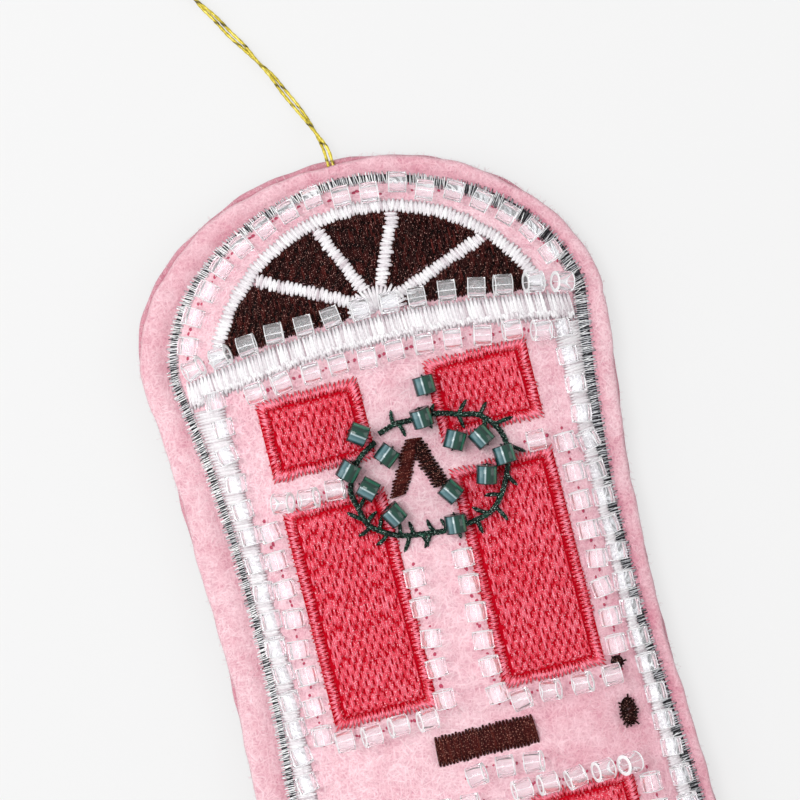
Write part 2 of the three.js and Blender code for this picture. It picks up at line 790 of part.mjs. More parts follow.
function addStitchedDome(name, centre, width, height) {
  const sides = 12;
  const ringShares = [1, 0.75, 0.4];
  const rings = ringShares.map((share) => {
    const across = width / 2 * share;
    const up = height / 2 * share;
    return new THREE.EllipseCurve(centre.x, centre.y, across, up, 0, 2 * Math.PI).getPoints(sides).slice(1);
  });
  const heights = ringShares.map((share) => THREE.MathUtils.lerp(knobThickness, satinEdge, share ** 2));
  const dome = (x, y, ring) => stitchBase(x, y) + heights[ring];
  addNode(name, ringedPlate(rings, stitchBase, dome), materials.brownThread);
}

function addLocks() {
  const x = embroideryShift + panelOuterEdge;
  const knobY = layoutY(tallPanelBase - knobDrop);
  addStitchedDome('door_knob_stitch', new THREE.Vector2(x + knobWidth / 2, knobY), knobWidth, knobHeight);
  const bolt = new THREE.Vector2(x + plateGap + deadboltSize / 2, layoutY(tallPanelBase));
  addStitchedDome('deadbolt_stitch', bolt, deadboltSize, deadboltSize);
}

// An upturned V: both legs leave the apex and end square
function addKnocker() {
  const top = layoutY(tallPanelBase + tallPanelHeight + knockerRise);
  const rowShares = [0, 0.2, 0.45, 0.72, 1];
  const rows = rowShares.map((share) => {
    const y = top - knockerHeight * share;
    const middle = embroideryShift + knockerLean * (1 - share);
    const half = knockerLegWidth / 2 * Math.hypot(1, knockerSpread / knockerHeight);
    const spread = knockerSpread * share;
    const crotch = Math.max(spread - half, plateGap * share);
    const lines = [-spread - half, -spread, -crotch, crotch, spread, spread + half];
    return lines.map((x) => new THREE.Vector2(middle + x, y));
  });
  const ridge = (x, y, column) => stitchBase(x, y) + (column === 1 ? satinRim : satinEdge);
  const leg = (columns) => {
    const legRows = rows.map((row) => columns.map((column) => row[column]));
    return rowedPlate(legRows, stitchBase, ridge);
  };
  const crown = rows.slice(0, 2).map((row) => [row[0], row[1].clone().lerp(row[4], 1 / 2), row[5]]);
  const bridge = rowedPlate(crown, stitchBase, satinOver(satinRim));
  addNode('knocker_stitch', joined([leg([0, 1, 2]), leg([3, 4, 5]), bridge]), materials.brownThread);
}

// Beads: each string is one sewing thread through the beads of a row

function beadAt(x, y, angle, lift, diameter) {
  const z = (px, py) => frontTop(px, py) + lift + diameter / 2;
  const step = beadLength / 2;
  const dx = Math.cos(angle) * step;
  const dy = Math.sin(angle) * step;
  const axis = new THREE.Vector3(2 * dx, 2 * dy, z(x + dx, y + dy) - z(x - dx, y - dy)).normalize();
  return { centre: new THREE.Vector3(x, y, z(x, y)), axis };
}

function ringPoints(centre, axis, radius, sides) {
  const sideways = new THREE.Vector3(0, 0, 1).cross(axis).normalize();
  const up = axis.clone().cross(sideways);
  return Array.from({ length: sides }, (_, index) => {
    const turn = 2 * Math.PI * index / sides;
    return centre.clone()
      .addScaledVector(sideways, radius * Math.cos(turn))
      .addScaledVector(up, radius * Math.sin(turn));
  });
}

// Beads in the order and direction that the thread takes through them
function addBeadString(name, places) {
  const threadSides = beadSides / 2;
  const points = [];
  const faces = [];
  const addRing = (centre, axis, radius, sides) => {
    const first = points.length;
    points.push(...ringPoints(centre, axis, radius, sides));
    return first;
  };
  const joinRings = (from, to, sides) => {
    for (let index = 0; index < sides; index += 1) {
      const next = (index + 1) % sides;
      faces.push([from + index, from + next, to + next], [from + index, to + next, to + index]);
    }
  };
  const joinFace = (thread, bead) => {
    for (let index = 0; index < threadSides; index += 1) {
      const next = (index + 1) % threadSides;
      const rim = bead + 2 * index;
      const rimNext = bead + (2 * index + 2) % beadSides;
      faces.push([thread + index, rim + 1, rim], [thread + index, thread + next, rim + 1]);
      faces.push([thread + next, rimNext, rim + 1]);
    }
  };
  const closeThread = (thread, forward) => {
    for (let index = 1; index < threadSides - 1; index += 1) {
      const face = [thread, thread + index, thread + index + 1];
      faces.push(forward ? face : face.reverse());
    }
  };
  let lastThread = -1;
  places.forEach(({ x, y, angle }) => {
    const { centre, axis } = beadAt(x, y, angle, beadLift, beadDiameter);
    const back = centre.clone().addScaledVector(axis, -beadLength / 2);
    const front = centre.clone().addScaledVector(axis, beadLength / 2);
    const entry = addRing(back, axis, sewingThread / 2, threadSides);
    const backRim = addRing(back, axis, beadDiameter / 2, beadSides);
    const frontRim = addRing(front, axis, beadDiameter / 2, beadSides);
    const exit = addRing(front, axis, sewingThread / 2, threadSides);
    if (lastThread < 0) closeThread(entry, false);
    else joinRings(lastThread, entry, threadSides);
    joinFace(entry, backRim);
    joinRings(backRim, frontRim, beadSides);
    const firstFrontFace = faces.length;
    joinFace(exit, frontRim);
    for (let index = firstFrontFace; index < faces.length; index += 1) faces[index].reverse();
    lastThread = exit;
  });
  closeThread(lastThread, true);
  addNode(name, closedBody(points, faces), materials.clearGlass);
}

// Evenly spaced places along a line, a pitch apart or a little more
function spacedShares(length, pitch) {
  const gaps = Math.max(1, Math.round(length / pitch));
  return Array.from({ length: gaps + 1 }, (_, index) => index / gaps);
}

function column(x, fromHeight, toHeight, pitch = beadPitch) {
  return spacedShares(Math.abs(toHeight - fromHeight), pitch).map((share) => ({
    x,
    y: layoutY(THREE.MathUtils.lerp(fromHeight, toHeight, share)),
    angle: Math.sign(toHeight - fromHeight) * Math.PI / 2,
  }));
}

function rowOfBeads(fromX, toX, height, pitch = beadPitch) {
  return spacedShares(Math.abs(toX - fromX), pitch).map((share) => ({
    x: THREE.MathUtils.lerp(fromX, toX, share),
    y: layoutY(height),
    angle: toX > fromX ? 0 : Math.PI,
  }));
}

const upperRowHeight = fanBase + beadDiameter / 3;
const upperRowEnd = seamShoulderHalf - beadDiameter + beadClearance;
const pilasterBeadReach = outerBeadOffset + beadDiameter + beadClearance / 2;

function lineLength(points) {
  return points.slice(1).reduce((sum, point, index) => sum + point.distanceTo(points[index]), 0);
}

// Where a length along a line of points ends, and which way the line runs there
function placeAlong(points, length) {
  let rest = length;
  let index = 1;
  while (index < points.length - 1 && rest > points[index].distanceTo(points[index - 1])) {
    rest -= points[index].distanceTo(points[index - 1]);
    index += 1;
  }
  const way = points[index].clone().sub(points[index - 1]);
  const place = points[index - 1].clone().addScaledVector(way, rest / way.length());
  return { x: place.x, y: place.y, angle: Math.atan2(way.y, way.x) };
}

// The arch row follows the seam and stops a gap above the end beads of the row on the transom
function addArchBeads() {
  const arch = {
    ...seamLine,
    top: seamTop - archBeadInset,
    shoulderHalf: seamShoulderHalf - archBeadInset - archBeadShift,
    shoulderMiddle: seamShoulderShift + archBeadShift,
  };
  const points = archPoints(arch, archSteps * archSteps).filter(({ x, y }) => {
    const endBead = layoutY(upperRowHeight) - transomDrop(embroideryShift + Math.sign(x) * upperRowEnd);
    const gap = x > 0 ? archBeadGapRight : archBeadGapLeft;
    return y > endBead + (beadDiameter + beadLength) / 2 + gap;
  });
  const length = lineLength(points);
  const places = spacedShares(length, beadPitch).map((share) => placeAlong(points, share * length));
  addBeadString('arch_beads', places);
}

// A row that hangs with the transom
function saggingRow(fromX, toX, height) {
  const slope = (x) => -2 * transomSag * (x - transomShift) / (fanRadius + fanBeadBand) ** 2;
  return rowOfBeads(fromX, toX, height).map(({ x, y }) => ({
    x,
    y: y - transomDrop(x),
    angle: Math.atan(slope(x)),
  }));
}

function addTransomBeads() {
  const lowerHeight = transomBase - plateGap - beadLength / 4;
  const upperLeft = embroideryShift - upperRowEnd;
  const upperRight = embroideryShift + upperRowEnd;
  addBeadString('transom_upper_beads', saggingRow(upperLeft, upperRight, upperRowHeight));
  const left = embroideryShift - panelOuterEdge + beadLength / 4;
  const right = embroideryShift + panelOuterEdge + outerBeadOffset + beadClearance;
  addBeadString('transom_lower_beads', saggingRow(left, right, lowerHeight));
}

function addPilasterBeads(name, side, top) {
  const foot = seamFoot + footSpace / 2 + beadLength / 2;
  const places = column(0, top, foot, pilasterPitch).map(({ y, angle }) => ({
    x: besidePanels(side, pilasterBeadReach, y + halfLift),
    y,
    angle,
  }));
  addBeadString(name, places);
}

// One string down a panel's inner edge, under it and up its outer edge
function panelBeads(side, { innerTop, innerFoot, outerTop, outerFoot, rowHeight, rowEnd }) {
  const innerX = embroideryShift + side * (stileWidth / 2 - innerBeadOffset);
  const outerX = embroideryShift + side * (panelOuterEdge + outerBeadOffset);
  const rowStart = innerX + side * (beadDiameter / 2 + beadClearance + beadLength / 2);
  return [
    ...column(innerX, innerTop, innerFoot),
    ...rowOfBeads(rowStart, outerX - side * rowEnd, rowHeight),
    ...column(outerX, outerFoot, outerTop),
  ];
}

function addTallPanelBeads() {
  const top = tallPanelBase + tallPanelHeight;
  const rowHeight = tallPanelBase - beadDiameter / 2 + beadClearance;
  addBeadString('tall_left_beads', panelBeads(-1, {
    innerTop: top - wreathRoom - beadLength / 2,
    innerFoot: tallPanelBase + beadLength / 2,
    outerTop: top - beadLength,
    outerFoot: tallPanelBase + beadClearance,
    rowHeight,
    rowEnd: beadDiameter,
  }));
  addBeadString('tall_right_beads', panelBeads(1, {
    innerTop: top - wreathRoom,
    innerFoot: tallPanelBase + beadClearance,
    outerTop: top - beadClearance,
    outerFoot: tallPanelBase + beadLength,
    rowHeight,
    rowEnd: beadDiameter / 2 + beadClearance,
  }));
}

function addBottomPanelBeads(name, side) {
  const top = bottomPanelBase + bottomPanelHeight;
  const innerX = embroideryShift + side * (stileWidth / 2 - innerBeadOffset);
  const outerX = embroideryShift + side * (panelOuterEdge - beadClearance);
  const round = panelBeads(side, {
    innerTop: top - beadLength - beadClearance,
    innerFoot: bottomPanelBase + beadClearance,
    outerTop: top - beadLength,
    outerFoot: bottomPanelBase + beadClearance,
    rowHeight: bottomPanelBase - beadDiameter / 2 + beadClearance,
    rowEnd: beadDiameter,
  });
  addBeadString(name, [...rowOfBeads(outerX, innerX, top + beadDiameter / 3), ...round]);
}

function addRailBeads() {
  const height = tallPanelBase + tallPanelHeight + lockRail / 4;
  const left = embroideryShift - panelOuterEdge + beadLength / 4;
  addBeadString('left_rail_beads', rowOfBeads(left, left + 2 * (beadPitch - beadClearance), height));
  const right = embroideryShift + panelOuterEdge - beadLength;
  addBeadString('right_rail_bead', [{ x: right, y: layoutY(height), angle: 0 }]);
}

function addMailSlotBeads() {
  const left = embroideryShift + mailSlotShift - beadLength;
  const height = tallPanelBase - mailSlotDrop - mailSlotHeight - beadDiameter / 2 - beadClearance;
  addBeadString('mail_slot_beads', rowOfBeads(left, left + 2 * beadPitch, height));
}

function addBeads() {
  addArchBeads();
  addTransomBeads();
  const pilasterTop = transomUnderside(seamWaistHalf);
  addPilasterBeads('left_pilaster_beads', -1, pilasterTop + beadClearance * 4);
  addPilasterBeads('right_pilaster_beads', 1, pilasterTop - beadClearance * 2);
  addTallPanelBeads();
  addBottomPanelBeads('bottom_left_beads', -1);
  addBottomPanelBeads('bottom_right_beads', 1);
  addRailBeads();
  addMailSlotBeads();
}

// Wreath: a feather-stitched vine with lined glass beads on and beside it

const wreathCentre = new THREE.Vector2(
  embroideryShift + wreathShift,
  layoutY(tallPanelBase + tallPanelHeight),
);
const vineLift = stitchGap + satinRim + stitchGap + vineDiameter / 2;

const vineShares = [
  [-0.52, 0.63], [-0.29, 0.7], [-0.1, 0.7], [0.08, 0.72], [0.34, 0.68], [0.52, 0.62],
  [0.72, 0.57], [0.89, 0.4], [0.97, 0.23], [0.97, 0.01], [0.87, -0.28], [0.76, -0.47],
  [0.6, -0.63], [0.34, -0.7], [0.13, -0.72], [-0.05, -0.73], [-0.3, -0.7], [-0.51, -0.67],
  [-0.71, -0.59], [-0.92, -0.43], [-0.99, -0.2], [-1.03, 0.01], [-0.96, 0.21], [-0.82, 0.4],
  [-0.6, 0.54],
];

// Each barb leaves at a share of the vine and ends at an offset in shares of the wreath
const barbShares = [
  [0.04, 0.01, 0.17], [0.05, 0.05, -0.17], [0.12, 0.1, 0.1], [0.11, 0.07, -0.17],
  [0.19, 0.13, 0.14], [0.19, 0.03, -0.17], [0.24, 0.11, 0.13], [0.25, -0.01, -0.14],
  [0.28, 0.23, 0.03], [0.33, 0.19, -0.14], [0.4, 0.09, -0.15], [0.45, -0.18, 0.04],
  [0.48, 0.1, -0.19], [0.5, -0.17, 0.11], [0.53, 0.03, -0.17], [0.58, 0.02, -0.14],
  [0.63, -0.06, 0.17], [0.64, -0.11, -0.15], [0.68, -0.02, 0.16], [0.69, -0.1, -0.17],
  [0.74, -0.16, -0.1], [0.78, -0.16, -0.07], [0.8, -0.17, 0.13], [0.79, 0.14, 0.11],
];

function addVine() {
  const onFelt = (x, y) => new THREE.Vector3(x, y, frontTop(x, y) + vineLift);
  const route = vineShares.map(([across, up]) => onFelt(
    wreathCentre.x + wreathRadius * across,
    wreathCentre.y + wreathRadius * up,
  ));
  const curve = new THREE.CatmullRomCurve3(route, false, 'centripetal');
  const stem = tube(route, vineDiameter / 2, vineSides, vineSteps);
  const twigs = barbShares.map(([along, across, up]) => {
    const from = curve.getPointAt(along);
    const to = onFelt(from.x + wreathRadius * across, from.y + wreathRadius * up);
    return bar(from, to, barbDiameter / 2, vineSides / 2);
  });
  addNode('wreath_vine', joined([stem, ...twigs]), materials.greenThread);
}

// Each bead's offset in shares of the wreath, its bore's direction, and whether it rides the vine
const wreathBeadShares = [
  { across: 0.17, up: 1.08, turn: 92, onVine: false },
  { across: 0.04, up: 0.7, turn: 95, onVine: true },
  { across: -0.77, up: 0.69, turn: -35, onVine: false },
  { across: -0.49, up: 0.35, turn: 40, onVine: false },
  { across: -0.99, up: 0.28, turn: 48, onVine: true },
  { across: -0.81, up: 0, turn: -42, onVine: false },
  { across: -0.58, up: -0.38, turn: -60, onVine: false },
  { across: 0.13, up: -0.67, turn: 86, onVine: true },
  { across: 0.17, up: -0.27, turn: -55, onVine: false },
  { across: 0.37, up: 0.33, turn: 62, onVine: false },
  { across: 0.7, up: 0.29, turn: -62, onVine: false },
  { across: 0.92, up: 0.01, turn: 94, onVine: true },
  { across: 0.65, up: -0.17, turn: 75, onVine: false },
];

function addWreathBeads() {
  const clearOfStitches = stitchGap + satinRim + stitchGap;
  const clearOfVine = vineLift + vineDiameter / 2 + stitchGap;
  const outer = wreathBeadDiameter / 2;
  const half = wreathBeadLength / 2;
  const profile = [
    [beadBore / 2, -half], [outer, -half], [outer, half], [beadBore / 2, half], [beadBore / 2, -half],
  ].map(([x, y]) => new THREE.Vector2(x, y));
  wreathBeadShares.forEach(({ across, up, turn, onVine }, index) => {
    const x = wreathCentre.x + wreathRadius * across;
    const y = wreathCentre.y + wreathRadius * up;
    const lift = onVine ? clearOfVine : clearOfStitches;
    const { centre, axis } = beadAt(x, y, THREE.MathUtils.degToRad(turn), lift, wreathBeadDiameter);
    const ring = new THREE.LatheGeometry(profile, wreathBeadSides);
    const number = String(index + 1).padStart(2, '0');
    const node = addNode(`wreath_bead_${number}`, ring, materials.greenGlass);
    node.position.copy(centre);
    node.quaternion.setFromUnitVectors(new THREE.Vector3(0, 1, 0), axis);
  });
}

// Hanging loop: one thread out and back, from the knot between the felts

// Offsets from the exit across and up the door, then the height above the table
const strandRoute = [
  [-0.47, 2.6, 2.45], [-1.0, 5.4, 1.3], [-1.63, 7.7, 0.62], [-2.53, 10.05, 0.31], [-3.73, 12.55, 0.27],
  [-5.01, 15.2, 0.27], [-6.7, 17.6, 0.27], [-8.32, 19.98, 0.27], [-9.97, 22.45, 0.27], [-11.33, 24.97, 0.27],
  [-12.8, 27.44, 0.27], [-14.2, 31.1, 0.27], [-15.5, 35.3, 0.27], [-16.6, 40.5, 0.27], [-18.0, 45.5, 0.27],
  [-20.1, 50.1, 0.27], [-23.4, 54.0, 0.27], [-27.7, 55.9, 0.27], [-31.0, 53.6, 0.27], [-31.6, 49.3, 0.27],
  [-29.3, 44.6, 0.27], [-25.9, 40.7, 0.27], [-22.2, 37.1, 0.27], [-18.4, 33.6, 0.31], [-15.0, 30.6, 0.6],
  [-12.6, 27.56, 0.84], [-10.87, 25.23, 0.6], [-9.43, 22.75, 0.29], [-7.88, 20.22, 0.64], [-6.7, 17.6, 0.86],
  [-5.39, 15.0, 0.7], [-4.27, 12.25, 0.31], [-3.07, 9.75, 0.44], [-1.97, 7.5, 1.15], [-1.0, 5.4, 1.98],
  [0.17, 2.6, 2.7],
];

function addLoop() {
  const away = (side) => new THREE.Vector3(exitPoint.x + side * strandOffset, exitPoint.y, exitPoint.z);
  const middle = strandRoute.map(([dx, dy, z]) => new THREE.Vector3(exitPoint.x + dx, exitPoint.y + dy, z));
  const route = [away(-1), ...middle, away(1)];
  addNode('hanging_loop', tube(route, threadDiameter / 2, loopSides, loopSteps), materials.goldThread);
}

function addKnot() {
  const knot = new THREE.Vector3(exitPoint.x, exitPoint.y + pivotDepth - knotDepth, exitPoint.z);
  const ball = new THREE.SphereGeometry(knotRadius, loopSides, loopSides - 2);
  ball.translate(knot.x, knot.y, knot.z);
  const tails = [-1, 1].map((side) => {
    const end = new THREE.Vector3(exitPoint.x + side * strandOffset, exitPoint.y - tailGap, exitPoint.z);
    const root = new THREE.Vector3(exitPoint.x + side * strandOffset, knot.y, knot.z);
    return bar(root, end, threadDiameter / 2, loopSides);
  });
  addNode('loop_knot', joined([ball, ...tails]), materials.goldThread);
}

addFelts();
addPad();
addSeamStitches();
addFanlightArch();
addFanlightBars();
addFanlightPanes();
addFanlightHub();
addTransom();
addPilaster('left_pilaster_stitch', -1);
addPilaster('right_pilaster_stitch', 1);
addPanels();
addMailSlot();
addLocks();
addKnocker();
addBeads();
addVine();
addWreathBeads();
addLoop();
addKnot();

export default door;
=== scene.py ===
import math
import bpy
import bmesh
import numpy as np
from mathutils import Matrix, Vector


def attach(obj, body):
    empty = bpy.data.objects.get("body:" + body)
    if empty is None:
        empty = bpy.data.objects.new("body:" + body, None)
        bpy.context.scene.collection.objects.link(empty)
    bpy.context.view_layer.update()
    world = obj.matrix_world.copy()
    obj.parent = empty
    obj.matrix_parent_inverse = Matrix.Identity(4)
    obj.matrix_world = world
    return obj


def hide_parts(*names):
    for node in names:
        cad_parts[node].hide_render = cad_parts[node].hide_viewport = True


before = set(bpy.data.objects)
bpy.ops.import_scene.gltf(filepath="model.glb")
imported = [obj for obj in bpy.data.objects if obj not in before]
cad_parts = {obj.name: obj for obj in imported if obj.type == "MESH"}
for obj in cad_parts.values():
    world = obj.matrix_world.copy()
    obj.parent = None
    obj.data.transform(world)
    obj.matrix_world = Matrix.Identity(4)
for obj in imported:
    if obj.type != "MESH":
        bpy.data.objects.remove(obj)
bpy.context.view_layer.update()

# Felt door ornament with stitched panels, glass beads and a thread loop.
# Sizes below are in millimetres and are made metres when a mesh is finished.
mm = 0.001
rng = np.random.default_rng(7)
collection = bpy.context.scene.collection


# Camera, straight over the door: its field is the width seen at the plane of the embroidery
cameraView = {"middle": (1.4, 22.95), "objectPlane": 6.0, "field": 114.3, "lens": 120, "roll": -14}


def addCamera():
    data = bpy.data.cameras.new("camera")
    data.lens = cameraView["lens"]
    data.clip_start = 0.01
    camera = bpy.data.objects.new("camera", data)
    distance = cameraView["field"] * data.lens / data.sensor_width
    x, y = cameraView["middle"]
    camera.location = (x * mm, y * mm, (cameraView["objectPlane"] + distance) * mm)
    camera.rotation_euler = (0, 0, math.radians(cameraView["roll"]))
    collection.objects.link(camera)
    bpy.context.scene.camera = camera


addCamera()
print("camera ready")


# Helpers for meshes and rows of points
def finishMesh(name, mesh, material, smooth=True):
    if smooth:
        mesh.shade_smooth()
    obj = bpy.data.objects.new(name, mesh)
    collection.objects.link(obj)
    if material:
        mesh.materials.append(material)
    return obj


def meshFrom(bm, name):
    mesh = bpy.data.meshes.new(name)
    bm.to_mesh(mesh)
    bm.free()
    return mesh


def placeVertices(mesh, places):
    mesh.vertices.foreach_set("co", (places.reshape(-1) * mm).astype(np.float32))
    mesh.update()


# A bmesh grid bent to places, an array of rows by columns by 3
def gridMesh(name, places, wrapAround=False, capEnds=False, mergeAt=0.004):
    rows, columns = places.shape[:2]
    bm = bmesh.new()
    bmesh.ops.create_grid(bm, x_segments=columns - 1, y_segments=rows - 1, size=1)
    mesh = meshFrom(bm, name)
    placeVertices(mesh, places)
    bm = bmesh.new()
    bm.from_mesh(mesh)
    if wrapAround:
        bmesh.ops.remove_doubles(bm, verts=bm.verts, dist=mergeAt * mm)
    if capEnds:
        bmesh.ops.holes_fill(bm, edges=bm.edges, sides=0)
    bmesh.ops.recalc_face_normals(bm, faces=bm.faces)
    bm.to_mesh(mesh)
    bm.free()
    return mesh


# Copies of a template in one mesh, all in the same place until their vertices are moved
def repeatMesh(template, count):
    holder = bpy.data.objects.new("holder", template)
    collection.objects.link(holder)
    array = holder.modifiers.new("copies", "ARRAY")
    array.count = count
    array.use_relative_offset = False
    array.use_constant_offset = True
    array.constant_offset_displace = (0, 0, 0)
    graph = bpy.context.evaluated_depsgraph_get()
    mesh = bpy.data.meshes.new_from_object(holder.evaluated_get(graph))
    bpy.data.objects.remove(holder)
    return mesh


def readVertices(mesh):
    flat = np.zeros(len(mesh.vertices) * 3, np.float32)
    mesh.vertices.foreach_get("co", flat)
    return flat.reshape(-1, 3).astype(float)


def setAttribute(mesh, name, values, kind="FLOAT"):
    layer = mesh.attributes.new(name, kind, "POINT")
    key = "value" if kind == "FLOAT" else "vector"
    layer.data.foreach_set(key, np.asarray(values, np.float32).reshape(-1))


# Joins finished objects into one and keeps their attributes
def joinPieces(name, pieces):
    if len(pieces) > 1:
        with bpy.context.temp_override(active_object=pieces[0], selected_editable_objects=pieces):
            bpy.ops.object.join()
    pieces[0].name = name
    pieces[0].data.name = name
    return pieces[0]


# How far along a row of points each one lies
def travelledAlong(points):
    return np.concatenate([[0], np.cumsum(np.linalg.norm(np.diff(points, axis=0), axis=1))])


# The points at the given places along a row
def pointsAt(places, travelled, points):
    return np.stack([np.interp(places, travelled, column) for column in points.T], 1)


# Layout of the door: heights run from the seam's foot upwards
layout = {
    "footSpace": 4.9, "bottomPanel": 14.0, "middleRail": 15.0, "tallPanel": 32.6, "lockRail": 3.8,
    "upperPanel": 12.2, "headRail": 3.2, "transom": 4.9, "fanRise": 16.1, "fanBeadBand": 3.3,
    "topBorder": 3.2, "shoulderBorder": 3.95, "waistBorder": 4.4, "footBorder": 3.7,
    "shift": 1.0, "seamShift": 0.15, "seamShoulderShift": 0.4, "seamLean": 0.5, "feltLean": 1.1,
    "waistShift": -0.8, "transomShift": -0.7, "stile": 9.2, "panelWidth": 15.4, "pilasterZone": 6.6,
    "pilasterSpace": 4.2, "pilasterFlare": 1.5, "footFlare": 2.2, "fanRadius": 26.4, "shoulderDrop": 22.8,
    "waistHeight": 47.0, "transomSag": 3.4,
}
bottomBase = layout["footSpace"]
tallBase = bottomBase + layout["bottomPanel"] + layout["middleRail"]
upperBase = tallBase + layout["tallPanel"] + layout["lockRail"]
transomBase = upperBase + layout["upperPanel"] + layout["headRail"]
fanBase = transomBase + layout["transom"]
fanTop = fanBase + layout["fanRise"]
seamTop = fanTop + layout["fanBeadBand"]
doorHeight = layout["footBorder"] + seamTop + layout["topBorder"]
halfLift = doorHeight / 2 - layout["footBorder"]
panelOuter = layout["stile"] / 2 + layout["panelWidth"]
seamWaist = panelOuter + layout["pilasterZone"]
seamShoulder = layout["fanRadius"] + layout["fanBeadBand"]
shift = layout["shift"]
fanCentre = (shift, fanTop - layout["fanRadius"] - halfLift)

seamLine = {
    "top": seamTop, "foot": 0.0, "shoulderHeight": seamTop - layout["shoulderDrop"],
    "halves": (seamShoulder, seamWaist, seamWaist + layout["footFlare"]),
    "middles": (layout["seamShoulderShift"], layout["seamShift"], layout["seamShift"]),
    "corner": 2.0, "power": 1.87, "lean": layout["seamLean"], "sidePower": 2.2,
}
feltLine = {
    "top": seamTop + layout["topBorder"], "foot": -layout["footBorder"],
    "shoulderHeight": seamTop - layout["shoulderDrop"],
    "halves": (seamShoulder + layout["shoulderBorder"], seamWaist + layout["waistBorder"],
               seamWaist + layout["footFlare"] + layout["footBorder"]),
    "middles": (0.0, layout["waistShift"], layout["waistShift"]),
    "corner": 4.0, "power": 2.0, "lean": layout["feltLean"], "sidePower": 1.4,
}


def smoothShare(share):
    t = np.clip(share, 0, 1)
    return t * t * (3 - 2 * t)


# Half width and middle of an outline at heights below its shoulders
def sideAt(line, height):
    shoulder, waist, foot = line["halves"]
    middleTop, middleWaist, middleFoot = line["middles"]
    waistHeight = layout["waistHeight"]
    upper = np.clip((height - waistHeight) / (line["shoulderHeight"] - waistHeight), 0, 1)
    lower = smoothShare((waistHeight - height) / (waistHeight - line["foot"]))
    half = waist + (shoulder - waist) * upper ** line["sidePower"] + (foot - waist) * lower
    middle = middleWaist + (middleTop - middleWaist) * smoothShare(upper)
    return half, middle + (middleFoot - middleWaist) * lower


# An outline's arch, from its right shoulder to its left one
def archPoints(line, steps):
    turn = np.pi * np.arange(steps + 1) / steps
    across = np.sign(np.cos(turn)) * np.abs(np.cos(turn)) ** (2 / line["power"])
    up = np.abs(np.sin(turn)) ** (2 / line["power"])
    lean = line["lean"] * np.abs(np.sin(2 * turn))
    x = line["middles"][0] + line["halves"][0] * across - lean
    y = line["shoulderHeight"] + (line["top"] - line["shoulderHeight"]) * up
    return np.stack([x, y], 1)


# A closed outline: its arch, left side, rounded foot and right side
def outlineLoop(line, archSteps=96, sideSteps=70, cornerSteps=8, footSteps=50):
    arch = archPoints(line, archSteps)
    corner = line["corner"]
    low = line["foot"] + corner
    heights = np.linspace(line["shoulderHeight"], low, sideSteps + 1)[1:]
    half, middle = sideAt(line, heights)
    left = np.stack([middle - half, heights], 1)
    right = np.stack([middle + half, heights], 1)[::-1]
    leftX, rightX = middle[-1] - half[-1] + corner, middle[-1] + half[-1] - corner
    turn = np.pi / 2 * np.arange(1, cornerSteps + 1) / cornerSteps
    leftCorner = np.stack([leftX - corner * np.cos(turn), low - corner * np.sin(turn)], 1)
    foot = np.linspace(leftX, rightX, footSteps + 1)[1:-1]
    footRow = np.stack([foot, np.full_like(foot, line["foot"])], 1)
    turn = np.pi / 2 * np.arange(0, cornerSteps) / cornerSteps
    rightCorner = np.stack([rightX + corner * np.sin(turn), low - corner * np.cos(turn)], 1)
    loop = np.concatenate([arch, left, leftCorner, footRow, rightCorner, right])
    loop[:, 1] -= halfLift
    return loop


seamLoop = outlineLoop(seamLine)
feltLoop = outlineLoop(feltLine)

puff = {
    "seamHeight": 1.5, "feltThickness": 1.2, "layerGap": 0.2, "rise": 3.0, "run": 13.0,
    "seamDip": 0.34, "dipWidth": 1.0, "borderRoll": 0.35, "rollFrom": 0.6, "rollWidth": 3.4,
    "wobble": 0.1, "wobbleRun": (3.1, 4.3), "slowRun": (7.3, 5.9), "slowShare": 0.6,
}
borderTop = puff["seamHeight"] + 2 * puff["feltThickness"] + puff["layerGap"]


# Signed distance to the seam, positive inside it
def seamDistance(x, y):
    least = np.full(x.shape, 1e9)
    inside = np.zeros(x.shape, bool)
    for (ax, ay), (bx, by) in zip(seamLoop, np.roll(seamLoop, -1, 0)):
        dx, dy = bx - ax, by - ay
        share = np.clip(((x - ax) * dx + (y - ay) * dy) / (dx * dx + dy * dy), 0, 1)
        least = np.minimum(least, np.hypot(x - ax - dx * share, y - ay - dy * share))
        if ay != by:
            crosses = (ay > y) != (by > y)
            inside ^= crosses & (x < (bx - ax) * (y - ay) / (by - ay) + ax)
    return np.where(inside, least, -least)


# The distance is worked out once on a grid a little wider than the felt
fieldStep, fieldWidth, fieldHeight = 0.4, 38, 64
fieldX = np.arange(-fieldWidth, fieldWidth + fieldStep / 40, fieldStep)
fieldY = np.arange(-fieldHeight, fieldHeight + fieldStep / 40, fieldStep)
fieldDistance = seamDistance(*np.meshgrid(fieldX, fieldY))


# The distance at any points, read off the grid
def distanceAt(x, y):
    x, y = np.asarray(x, float), np.asarray(y, float)
    column = np.clip((x - fieldX[0]) / fieldStep, 0, len(fieldX) - 1.001)
    row = np.clip((y - fieldY[0]) / fieldStep, 0, len(fieldY) - 1.001)
    i, j = column.astype(int), row.astype(int)
    u, v = column - i, row - j
    low = fieldDistance[j, i] * (1 - u) + fieldDistance[j, i + 1] * u
    high = fieldDistance[j + 1, i] * (1 - u) + fieldDistance[j + 1, i + 1] * u
    return low * (1 - v) + high * v


# How much of its height the filling has reached at a distance from the seam
def puffShare(distance):
    return np.sin(np.clip(distance / puff["run"], 0, 1) * np.pi / 2)


